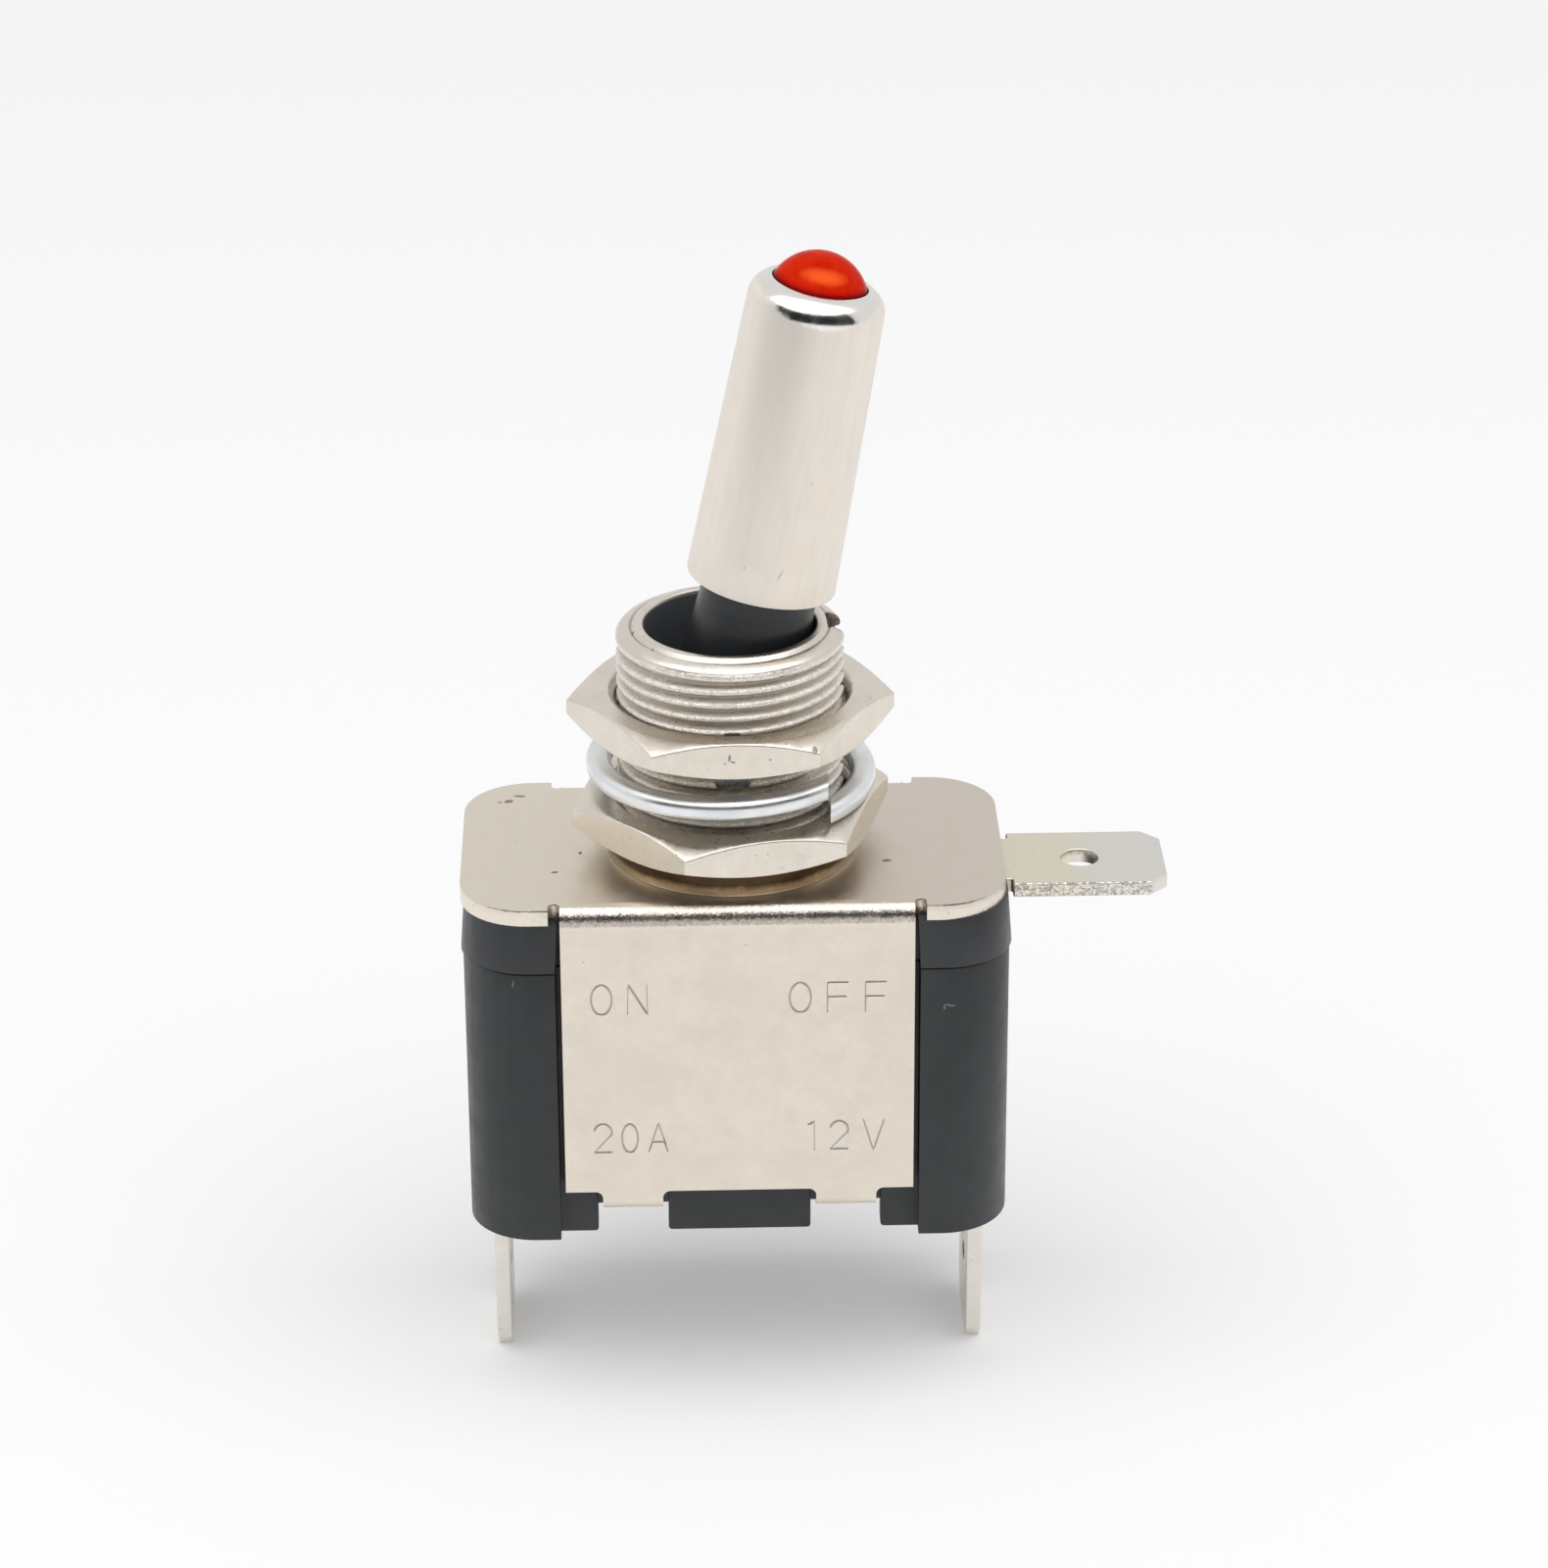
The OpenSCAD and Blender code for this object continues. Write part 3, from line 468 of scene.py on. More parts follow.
def blade_metal(name, colour, cooler, tab=False):
    """Plated blade stock: smooth faces, and on the ground tab a torn and speckled sheared edge."""
    f = Finish(name, metallic=1.0)
    share = f.remap(f.noise(1.8, 4, 0.65), 0.35, 0.68)
    if tab:
        # the tab is yellower towards the case
        share = f.remap(f.maths("MULTIPLY_ADD", f.noise(2.0, 4, 0.6), 3.0, f.x), 19.2, 21.2)
    tint = f.mix(share, colour, cooler)
    specks = f.remap(f.cells(0.75, (1.3, 1, 1)), 0.12, 0.05)
    tint = f.stain(tint, specks, 0.3, tuple(c * 0.5 for c in colour))
    if tab:
        edge = f.remap(f.y, -3.02, -3.12)
        torn = f.times(f.remap(f.noise(0.15, 4, 0.8, (1.3, 1, 1), 2.0), 0.50, 0.64), edge)
        tint = f.stain(tint, edge, 0.7, (0.93, 0.885, 0.80))
        tint = f.stain(tint, torn, 0.35, (0.36, 0.31, 0.25))
        f.bump(torn, 0.05)
    f.bump(f.noise(0.5, 4, 0.7, shift=2.0), 0.012)
    f.bump(f.noise(0.09, 2, 0.6), 0.003)
    return f.finish(tint, f.remap(f.noise(0.8, 4, 0.7, shift=6.0), 0.25, 0.8, 0.30, 0.46))


def plain_metal(name, colour, roughness=0.22, along_lever=False):
    """Metal of the inner parts: softly clouded, with fine drawing lines."""
    f = Finish(name, metallic=1.0, along_lever=along_lever)
    tint = f.mix(f.remap(f.noise(0.9, 4, 0.6), 0.3, 0.72), colour, tuple(c * 0.82 for c in colour))
    f.bump(f.noise(0.2, 3, 0.65, (1, 1, 3)), 0.008)
    cloudy = f.noise(0.5, 3, 0.6, shift=2.0)
    return f.finish(tint, f.remap(cloudy, 0.25, 0.8, roughness, roughness + 0.14))


# ---------- plastics and lamp


def moulded_black(name, colour, rough, along_lever=False, scratched=False):
    """Filled black nylon: slightly mottled skin, dust specks and handling marks."""
    f = Finish(name, along_lever=along_lever, Specular_IOR_Level=0.5)
    tint = f.mix(f.remap(f.noise(3.0, 4, 0.6), 0.3, 0.72), colour, tuple(c * 1.35 for c in colour))
    tint = f.stain(tint, f.remap(f.cells(1.15), 0.035, 0.015), 0.45, (0.20, 0.20, 0.20))
    if scratched:
        marks = f.spots(
            ((11.24, SKIRT_Y, -5.9), (0.36, 9, 0.07), 12, 0.3),
            ((10.95, SKIRT_Y, -6.02), (0.07, 9, 0.16), 0, 0.3),
            ((-11.6, SKIRT_Y, -4.3), (0.05, 9, 0.30), 8, 0.4),
        )
        tint = f.stain(tint, marks, 0.8, (0.16, 0.165, 0.17))
    f.bump(f.noise(0.07, 2, 0.6), 0.0025)
    f.bump(f.noise(1.1, 3, 0.5, shift=1.0), 0.008)
    return f.finish(tint, f.remap(f.noise(1.2, 4, 0.65, shift=3.0), 0.25, 0.8, rough, rough + 0.13))


def red_lens():
    """Tinted dome: deep red, with a painted orange glow low at its front, where the light that came in at
    the top leaves again, and painted shade darker where it enters the sleeve."""
    f = Finish("red_lens", along_lever=True, IOR=1.45, Specular_IOR_Level=0.03,
               Sheen_Weight=0.7, Sheen_Roughness=0.15, Sheen_Tint=(1.0, 0.58, 0.05, 1))
    wavy = f.times(f.noise(0.9, 3, 0.6), 0.35)
    clouds = f.noise(0.8, 3, 0.6)
    tint = f.mix(f.remap(clouds, 0.3, 0.75), (0.70, 0.022, 0.001), (0.60, 0.010, 0.0008))
    # painted shade: the dome darkens low, where it enters the sleeve
    low = f.remap(f.plus(f.z, wavy), LENS_BASE + 0.62, LENS_BASE + 0.32)
    tint = f.stain(tint, low, 0.8, (0.52, 0.004, 0.0015))
    # painted glow: orange light low at the front of the dome, where light from the top leaves it
    offset = f.vector("SUBTRACT", f.place, (-0.05, -2.0, LENS_BASE + 0.84))
    offset = f.vector("MULTIPLY", offset, (0.50, 0.85, 2.2))
    glow = f.remap(f.plus(f.vector("LENGTH", offset), wavy), 1.20, 0.40)
    tint = f.stain(tint, glow, 0.85, (1.0, 0.125, 0.018))
    # painted shade: a near-black line where the dome meets the sleeve
    seam = f.remap(f.z, LENS_BASE + 0.20, LENS_BASE + 0.04)
    tint = f.stain(tint, seam, 0.85, (0.16, 0.003, 0.004))
    f.bump(f.noise(0.9, 2, 0.5, shift=2.0), 0.004)
    return f.finish(tint, f.remap(f.noise(0.6, 3, 0.6), 0.3, 0.8, 0.10, 0.16))


def red_epoxy():
    """The lamp under the lens."""
    f = Finish("red_led", along_lever=True, Transmission_Weight=0.3, Specular_IOR_Level=0.5)
    tint = f.mix(f.remap(f.noise(0.7, 3, 0.6), 0.3, 0.75), (0.75, 0.06, 0.035), (0.62, 0.035, 0.02))
    f.bump(f.noise(0.5, 2, 0.5), 0.006)
    return f.finish(tint, f.remap(f.noise(0.4, 3, 0.6, shift=2.0), 0.3, 0.8, 0.08, 0.2))


def resistor_paint():
    """Blue lacquer with four painted bands round the body, and tinned leads."""
    f = Finish("resistor_body", along_lever=True, Specular_IOR_Level=0.5)
    tint = f.mix(f.remap(f.noise(0.6, 3, 0.6), 0.3, 0.75), (0.07, 0.24, 0.46), (0.05, 0.19, 0.38))
    gold, black, brown, orange = (0.55, 0.42, 0.10), (0.02,) * 3, (0.22, 0.07, 0.02), (0.55, 0.20, 0.02)
    for level, band in ((14.05, gold), (14.7, black), (15.3, brown), (16.1, orange)):
        tint = f.mix(f.remap(f.away(f.z, level), 0.17, 0.14), tint, band)
    tint = f.mix(f.remap(f.z, 13.42, 13.38), tint, (0.66, 0.65, 0.62))
    f.bump(f.noise(0.25, 3, 0.6), 0.008)
    return f.finish(tint, f.remap(f.noise(0.4, 3, 0.6, shift=2.0), 0.3, 0.8, 0.22, 0.38))


SHEET = plated_sheet()
TURNED = bushing_nickel()
NUTS = nut_nickel()
SLEEVE = drawn_nickel()
ZINC = zinc_wire()
BLADE = blade_metal("tinned_brass", (0.82, 0.775, 0.70), (0.78, 0.75, 0.69))
TAB = blade_metal("ground_plate", (0.79, 0.735, 0.60), (0.765, 0.745, 0.69), tab=True)
CASE = moulded_black("black_case", (0.0165, 0.0190, 0.0205), 0.36, scratched=True)
LID = moulded_black("black_lid", (0.0185, 0.0205, 0.0225), 0.34)
STEM = moulded_black("black_stem", (0.015, 0.0172, 0.0195), 0.30, along_lever=True)
LENS = red_lens()
EPOXY = red_epoxy()
RESISTOR = resistor_paint()
WIRE = plain_metal("bare_wire", (0.70, 0.69, 0.66), 0.25, along_lever=True)
STEEL = plain_metal("spring_steel", (0.55, 0.56, 0.58))
COPPER = plain_metal("copper_strip", (0.80, 0.46, 0.26), 0.25)
BRASS = plain_metal("brass_plunger", (0.78, 0.56, 0.25))
SILVER = plain_metal("silver_contact", (0.82, 0.81, 0.78))


# ---------- meshes


def paint(obj, material):
    obj.data.materials.clear()
    obj.data.materials.append(material)


def smooth(mesh):
    for polygon in mesh.polygons:
        polygon.use_smooth = True


def add_object(name, data):
    obj = bpy.data.objects.new(name, data)
    bpy.context.scene.collection.objects.link(obj)
    return obj


def from_bmesh(name, work):
    mesh = bpy.data.meshes.new(name)
    work.to_mesh(mesh)
    work.free()
    return add_object(name, mesh)


def new_mesh(name, vertices, faces, material):
    """A smooth-shaded mesh object from points in millimetres."""
    mesh = bpy.data.meshes.new(name)
    mesh.from_pydata([mm(*v) for v in vertices], [], faces)
    mesh.validate()
    mesh.materials.append(material)
    smooth(mesh)
    return add_object(name, mesh)


def face_outwards(obj):
    work = bmesh.new()
    work.from_mesh(obj.data)
    bmesh.ops.recalc_face_normals(work, faces=work.faces)
    work.to_mesh(obj.data)
    work.free()


def stand_in(obj, body, node):
    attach(obj, body)
    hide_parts(node)


def clean_copy(node, name, material):
    """A copy of a CAD node as one welded mesh of flat faces, ready for rounding or cutting."""
    work = bmesh.new()
    work.from_mesh(nodes[node].data)
    bmesh.ops.remove_doubles(work, verts=work.verts, dist=1e-7)
    bmesh.ops.dissolve_limit(work, angle_limit=math.radians(0.3), verts=work.verts, edges=work.edges)
    bmesh.ops.recalc_face_normals(work, faces=work.faces)
    obj = from_bmesh(name, work)
    obj.data.materials.append(material)
    smooth(obj.data)
    return obj


def round_edges(obj, width, segments=3, angle=32):
    bevel = obj.modifiers.new("rounded", "BEVEL")
    bevel.width = mm(width)
    bevel.segments = segments
    bevel.limit_method = "ANGLE"
    bevel.angle_limit = math.radians(angle)
    bevel.harden_normals = True
    bevel.miter_outer = "MITER_ARC"


def cut(obj, cutter):
    """Cuts obj with cutter for good, with the modifiers that obj has so far applied."""
    boolean = obj.modifiers.new("cut", "BOOLEAN")
    boolean.operation = "DIFFERENCE"
    boolean.solver = "EXACT"
    boolean.use_self = True
    boolean.object = cutter
    bpy.context.view_layer.update()
    graph = bpy.context.evaluated_depsgraph_get()
    evaluated = obj.evaluated_get(graph)
    done = bpy.data.meshes.new_from_object(evaluated, preserve_all_data_layers=True, depsgraph=graph)
    obj.modifiers.clear()
    obj.data = done
    bpy.data.objects.remove(cutter)


def sharpen(obj, angle):
    """Smooth shading that breaks where faces meet at more than angle."""
    obj.data.shade_smooth()
    obj.data.set_sharp_from_angle(angle=math.radians(angle))


def keep_flat(obj):
    """Large flat faces shade flat right up to their rounded edges."""
    normals = obj.modifiers.new("flat", "WEIGHTED_NORMAL")
    normals.keep_sharp = True
    normals.weight = 100


def grid_faces(rows, columns, closed_rows=False):
    """Quads between consecutive rows of points, each row being a ring of columns points."""
    faces = []
    for r in range(rows if closed_rows else rows - 1):
        for c in range(columns):
            r2, c2 = (r + 1) % rows, (c + 1) % columns
            faces.append((r * columns + c, r * columns + c2, r2 * columns + c2, r2 * columns + c))
    return faces


def ring(radius, z, columns):
    """A level ring of points about the upright axis."""
    return [(*polar(radius, FULL_TURN * c / columns), z) for c in range(columns)]


# ---------- bushing

COLUMNS = 144  # round the bushing
STEPS = 10  # rows in one turn of its thread


def thread_rows():
    """Rows of points that follow a right-hand M12 x 0.75 helix, so that crests and roots stay crisp.

    Rows past the thread's ends lie along them, where it fades out."""
    pitch, shift = 0.75, 0.1875
    crest_r, root_r = 6.0, 5.60
    low, high = 1.95, 11.72
    lift = [0.0, 0.03, 0.26, 0.62, 0.90, 1.0, 0.97, 0.80, 0.42, 0.10]
    first = int((low - pitch) / pitch * STEPS) - STEPS
    last = int((high + pitch) / pitch * STEPS) + STEPS
    rows = []
    for row in range(first, last + 1):
        points = []
        for c in range(COLUMNS):
            turn = c / COLUMNS
            z = min(max(pitch * (row / STEPS + turn) - shift, low), high)
            fade = min(1.0, max(0.0, (z - low) / 0.30)) * min(1.0, max(0.0, (high - z) / 0.22))
            phase = ((z + shift) / pitch - turn) * STEPS
            step = math.floor(phase)
            a, b = lift[step % STEPS], lift[(step + 1) % STEPS]
            height = a + (b - a) * (phase - step)
            angle = FULL_TURN * turn
            wobble = 0.012 * math.sin(angle * 23 + z * 9) * math.sin(angle * 7 - z * 4)
            radius = root_r + (crest_r - root_r) * height * fade * (0.985 + wobble) + 0.05 * (1 - fade)
            points.append((*polar(radius, angle), z))
        rows.append(points)
    return rows


def stitch_thread(obj, start, count):
    """Joins each turn of the helix to the next where the columns close, in count rows from start."""
    work = bmesh.new()
    work.from_mesh(obj.data)
    work.verts.ensure_lookup_table()
    end = start + count - 1

    def across_seam(face):
        columns = {v.index % COLUMNS for v in face.verts}
        return columns == {0, COLUMNS - 1} and any(start <= v.index // COLUMNS <= end for v in face.verts)

    bmesh.ops.delete(work, geom=[f for f in work.faces if across_seam(f)], context="FACES_ONLY")
    work.verts.ensure_lookup_table()

    def vert(row, column):
        return work.verts[row * COLUMNS + column]

    def join(*corners):
        corners = list(dict.fromkeys(corners))
        if len(corners) > 2:
            work.faces.new(corners).smooth = True

    edge = COLUMNS - 1
    for row in range(start, end):
        a, b = min(row + STEPS, end), min(row + 1 + STEPS, end)
        join(vert(row, edge), vert(a, 0), vert(b, 0), vert(row + 1, edge))
    foot = [vert(r, 0) for r in range(start - 1, start + STEPS + 1)]
    join(vert(start - 1, edge), *foot, vert(start, edge))
    join(vert(end, edge), vert(end, 0), vert(end + 1, 0), vert(end + 1, edge))
    bmesh.ops.remove_doubles(work, verts=work.verts, dist=1e-8)
    bmesh.ops.dissolve_degenerate(work, edges=work.edges, dist=1e-8)
    bmesh.ops.recalc_face_normals(work, faces=work.faces)
    work.to_mesh(obj.data)
    work.free()


def turned_bushing():
    """The bushing's flare, collar, thread, rolled rim and bore, as (radius, height) profiles."""
    below = [
        (4.50, -1.60), (5.79, -1.60), (5.89, -1.50), (5.89, -0.92), (5.15, -0.91), (5.15, -0.02),
        (6.58, 0.0), (6.65, 0.03), (6.675, 0.10), (6.675, 1.33), (6.65, 1.41), (6.57, 1.45),
        (5.95, 1.45), (5.70, 1.50), (5.60, 1.62), (5.58, 1.80),
    ]
    above = [
        (5.70, 11.79), (5.72, 11.84), (5.90, 11.88), (5.975, 11.94), (6.0, 12.04), (5.99, 12.16),
        (5.94, 12.28), (5.86, 12.39), (5.75, 12.48), (5.62, 12.55), (5.50, 12.60), (5.40, 12.64),
        (5.32, 12.65), (5.27, 12.60), (5.20, 12.59), (5.15, 12.64), (5.10, 12.72), (5.02, 12.79),
        (4.92, 12.83), (4.74, 12.84), (4.61, 12.80), (4.53, 12.70), (4.50, 12.52), (4.50, 9.0),
        (4.50, 4.0),
    ]
    thread = thread_rows()
    rings = [ring(r, z, COLUMNS) for r, z in below] + thread + [ring(r, z, COLUMNS) for r, z in above]
    faces = grid_faces(len(rings), COLUMNS, closed_rows=True)
    obj = new_mesh("bushing_turned", [p for points in rings for p in points], faces, TURNED)
    stitch_thread(obj, len(below), len(thread))
    return obj


def box_cutter(size, matrix):
    work = bmesh.new()
    bmesh.ops.create_cube(work, size=1, matrix=matrix @ Matrix.Diagonal((*mm(*size), 1)))
    return from_bmesh("box_cutter", work)


def rod_cutter(radius, length, matrix):
    work = bmesh.new()
    bmesh.ops.create_cone(work, cap_ends=True, segments=48, radius1=mm(radius), radius2=mm(radius),
                          depth=mm(length), matrix=matrix)
    return from_bmesh("rod_cutter", work)


def dress_bushing():
    """The turned bushing with its keyway and the hole of the pivot pin."""
    obj = turned_bushing()
    width, length, floor_x, low = 2, 13, 5.05, 1.45
    middle = mm(floor_x + 1.5, 0, low + length / 2)
    keyway = Matrix.Rotation(math.radians(4), 4, "Z") @ Matrix.Translation(middle)
    cut(obj, box_cutter((3, width, length), keyway))
    across = Matrix.Translation(mm(0, 0, PIVOT_Z)) @ Matrix.Rotation(math.radians(90), 4, "X")
    cut(obj, rod_cutter(1.0, 30, across))
    sharpen(obj, 38)
    stand_in(obj, "case", "bushing")


# ---------- lettering


def arc(cx, cz, rx, rz, start, end, count=14):
    """Points along part of an ellipse, angles in degrees from +X towards +Z."""
    angles = [math.radians(start + (end - start) * i / count) for i in range(count + 1)]
    return [(cx + rx * math.cos(a), cz + rz * math.sin(a)) for a in angles]


def letter_strokes():
    """Every stroke stamped in the front skirt: points (x, z), and how deep it is."""
    lift = 0.116
    zeros = ((-7.01, -5.37, 0.54, 0.87), (3.40, -5.40, 0.56, 0.87), (-5.64, -13.62, 0.42, 0.85))
    strokes = [(arc(*oval, 90, 450, 32), 1.0) for oval in zeros]
    strokes += [
        ([(-5.66, -6.25), (-5.60, -4.50)], 0.6),
        ([(-5.60, -4.50), (-4.60, -6.25)], 1.2),
        ([(-4.63, -4.46), (-4.60, -6.25)], 0.6),
        ([(-4.66, -14.48), (-4.12, -12.72)], 0.8),
        ([(-4.12, -12.72), (-3.63, -14.50)], 0.8),
        ([(-4.44, -13.88), (-3.79, -13.88)], 1.2),
        ([(3.80, -13.00), (4.13, -12.80)], 1.2),
        ([(4.13, -12.80), (4.13, -14.57)], 0.6),
        ([(6.72, -12.70), (7.26, -14.57)], 0.9),
        ([(7.26, -14.57), (7.84, -12.72)], 0.9),
    ]
    for left, top, low, right in ((4.82, -4.56, -6.29, 5.92), (6.81, -4.56, -6.32, 7.92)):
        bar = top - 0.83
        strokes += [
            ([(left, low), (left, top)], 0.7),
            ([(left, top), (right, top)], 1.2),
            ([(left, bar), (right - 0.11, bar)], 1.2),
        ]
    for left, top, low, width in ((-7.54, -12.75, -14.46, 0.94), (4.97, -12.78, -14.47, 0.95)):
        hook = arc(left + width / 2, top - 0.50, width / 2, 0.50, 170, -20)
        strokes += [(hook + [(left, low)], 1.0), ([(left, low), (left + width, low)], 1.2)]
    return [([(x, z + lift) for x, z in line], weight) for line, weight in strokes]


def apart(strokes):
    """The strokes in sets of which no two touch."""
    room = 0.12
    sets = []
    for line, weight in strokes:
        xs, zs = [x for x, _ in line], [z for _, z in line]
        box = (min(xs) - room, max(xs) + room, min(zs) - room, max(zs) + room)
        for group in sets:
            if all(box[0] > b[1] or box[1] < b[0] or box[2] > b[3] or box[3] < b[2] for b, _ in group):
                break
        else:
            group = []
            sets.append(group)
        group.append((box, (line, weight)))
    return [[stroke for _, stroke in group] for group in sets]


def stroke_mesh(strokes, half_width=0.066, depth=0.060):
    """One cutter of V-shaped bars along the strokes, with pointed ends."""
    vertices, faces = [], []
    for line, weight in strokes:
        line = [Vector((x, 0, z)) for x, z in line]
        closed = (line[0] - line[-1]).length < 0.01
        if len(line) == 2:
            line = [line[0].lerp(line[1], t) for t in (0, 0.08, 0.5, 0.92, 1)]
        if closed:
            line = line[:-1]
        count, first = len(line), len(vertices)
        for i, point in enumerate(line):
            before = line[i - 1] if closed or i else point
            after = line[(i + 1) % count] if closed or i < count - 1 else point
            into, out = (point - before), (after - point)
            into = into.normalized() if into.length > 1e-6 else out.normalized()
            out = out.normalized() if out.length > 1e-6 else into
            along = (into + out).normalized()
            side = Vector((-along.z, 0, along.x)) * half_width * (0.8 + 0.2 * weight)
            side /= max(0.6, along.dot(out))
            deep = depth * weight
            if not closed and i in (0, count - 1):
                point = point + along * (-0.03 if i == 0 else 0.03)
                side *= 0.6
                deep *= 0.35
            rim_y = SKIRT_Y - 0.6 * depth
            for offset, y in ((side * 1.6, rim_y), (side * -1.6, rim_y), (Vector(), SKIRT_Y + deep)):
                vertices.append((point.x + offset.x, y, point.z + offset.z))
        for i in range(count if closed else count - 1):
            a, b = first + 3 * i, first + 3 * ((i + 1) % count)
            faces += [(a, a + 1, b + 1, b), (a + 1, a + 2, b + 2, b + 1), (a + 2, a, b, b + 2)]
        if not closed:
            end = first + 3 * (count - 1)
            faces += [(first, first + 2, first + 1), (end, end + 1, end + 2)]
    obj = new_mesh("letter_cutter", vertices, faces, SHEET)
    face_outwards(obj)
    return obj


def weigh_cover_edges(mesh):
    """The upper rim of the plate is rolled over more than the sheared edges elsewhere."""
    weights = mesh.attributes.new("bevel_weight_edge", "FLOAT", "EDGE")
    work = bmesh.new()
    work.from_mesh(mesh)
    for edge in work.edges:
        if len(edge.link_faces) == 2 and edge.calc_face_angle() > math.radians(32):
            rim = all(abs(v.co.z) < mm(0.01) and v.co.xy.length > mm(6.2) for v in edge.verts)
            weights.data[edge.index].value = 1.0 if rim else 0.3
    work.free()


def outline_letters(mesh):
    """Marks the borders of the skirt's flat face round the strokes as sharp, so that it shades flat."""
    flat = set()
    beside = {}
    for polygon in mesh.polygons:
        if polygon.normal.y < -0.9999 and abs(polygon.center.y - mm(SKIRT_Y)) < mm(0.001):
            flat.add(polygon.index)
        for key in polygon.edge_keys:
            beside.setdefault(key, set()).add(polygon.index)
    sharp = mesh.attributes["sharp_edge"]
    for edge in mesh.edges:
        pair = beside.get(tuple(sorted(edge.vertices)), set())
        middle = (mesh.vertices[edge.vertices[0]].co + mesh.vertices[edge.vertices[1]].co) / 2
        lettered = abs(middle.x) < mm(8.6) and mm(-15.5) < middle.z < mm(-3.6)
        if lettered and len(pair) == 2 and len(flat & pair) == 1:
            sharp.data[edge.index].value = True


def dress_cover():
    """The pressed cover with rolled edges and the generic lettering stamped into its front skirt."""
    obj = clean_copy("cover_frame", "cover_sheet", SHEET)
    weigh_cover_edges(obj.data)
    round_edges(obj, 0.34, 5)
    obj.modifiers["rounded"].limit_method = "WEIGHT"
    for strokes in apart(letter_strokes()):
        cut(obj, stroke_mesh(strokes))
    sharpen(obj, 28)
    outline_letters(obj.data)
    keep_flat(obj)
    stand_in(obj, "case", "cover_frame")


# ---------- wound parts


def tube(name, rings, material):
    """A tube with flat ends from rings of points."""
    count = len(rings[0])
    vertices = [point for points in rings for point in points]
    faces = grid_faces(len(rings), count)
    faces += [tuple(range(count))[::-1], tuple(len(vertices) - count + i for i in range(count))]
    obj = new_mesh(name, vertices, faces, material)
    face_outwards(obj)
    return obj


def rounded_section(half_w, half_h, radius, centre_up, steps):
    """A rounded rectangle, as points (across, up)."""
    wide, tall = half_w - radius, half_h - radius
    section = []
    for corner, (cx, cy) in enumerate(((wide, tall), (-wide, tall), (-wide, -tall), (wide, -tall))):
        for i in range(steps + 1):
            across, up = polar(radius, math.radians(90 * (corner + i / steps)))
            section.append((cx + across, centre_up + cy + up))
    return section


def dress_washer():
    """The split lock washer as rounded wire, sheared at its two ends square to X."""
    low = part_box("lock_washer")[0].z * 1000
    steps, gap, rise, mid, split = 160, 1.4, 1.42, 7.0, -44
    section = rounded_section(0.66, 0.58, 0.50, 0.58, 8)
    rings = []
    for k in range(steps + 1):
        turn = math.radians(split + gap / 2 + (360 - gap) * k / steps)
        z = low + rise * (k / steps) ** 1.15
        slants = [turn - math.radians(8) * across for across, _ in section]
        rings.append([(*polar(mid + across, slant), z + up) for slant, (across, up) in zip(slants, section)])
    obj = tube("lock_washer_wire", rings, ZINC)
    sharpen(obj, 50)
    stand_in(obj, "back_nut", "lock_washer")


def dress_spring():
    """The plunger's spring as round wire with closed end coils, drawn upright about the pivot and turned."""
    turns, steps, wire, mid = 6, 240, 0.2, 1.38
    low, high, seat = -8.38, -4.52, -4.3
    section = [polar(wire, math.radians(s)) for s in range(0, 360, 30)]
    rings = []
    for k in range(steps + 1):
        angle = -FULL_TURN * turns * k / steps
        z = low + (high - low) * min(1.0, max(0.0, (k / steps - 0.08) / 0.84))
        rings.append([(*polar(mid + across, angle), z + up) for across, up in section])
    obj = tube("plunger_coil", rings, STEEL)
    turn = lever_turn()
    obj.data.transform(turn)
    stand_in(obj, "lever", "plunger_spring")
    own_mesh(obj)


# ---------- sleeve


def dress_sleeve():
    """The drawn sleeve, with the generous polished edge round the lens and a small lip at its lower end."""
    top, low, edge, tip_r, low_r = LENS_BASE, 8.8, 1.25, 3.55, 3.925
    lens_r, tube_r, columns = 2.48, 3.07, 96
    start = math.degrees(math.acos((lens_r + 0.03 - (tip_r - edge)) / edge))
    outer = [polar(edge, math.radians(start * k / 14)) for k in range(15)]
    outer = [(tip_r - edge + across, top - edge + up) for across, up in outer]
    foot = low + 0.1
    wall = [(low_r + (tip_r - low_r) * k / 8, foot + (top - edge - foot) * k / 8) for k in range(8)]
    lip = [(low_r - 0.52, low + 0.02), (low_r - 0.45, low), (low_r - 0.10, low), (low_r - 0.03, low + 0.03)]
    inner = [(lens_r, outer[-1][1] - 0.03), (lens_r, top - 1.2), (tube_r, top - 1.2), (tube_r, low + 3.0)]
    profile = lip + wall + outer + inner
    vertices = [point for r, z in profile for point in ring(r, z, columns)]
    obj = new_mesh("sleeve_drawn", vertices, grid_faces(len(profile), columns, closed_rows=True), SLEEVE)
    face_outwards(obj)
    obj.data.transform(lever_turn())
    sharpen(obj, 40)
    stand_in(obj, "lever", "lever_sleeve")


# ---------- the rest


def draft_lid(mesh):
    """Drafts the upper ring: flush with the plate at its top, and at its bottom proud of the case and
    a hair short of it, which is the dark parting line."""
    for vertex in mesh.vertices:
        share = max(0.0, (vertex.co.z - mm(PARTING_Z)) / mm(LID_H))
        vertex.co.x = mm(CASE_X) + (vertex.co.x - mm(CASE_X)) * (1 - 0.014 * share)
        vertex.co.y *= 1 - 0.012 * share
        if share < 0.01:
            vertex.co.z += mm(0.10)


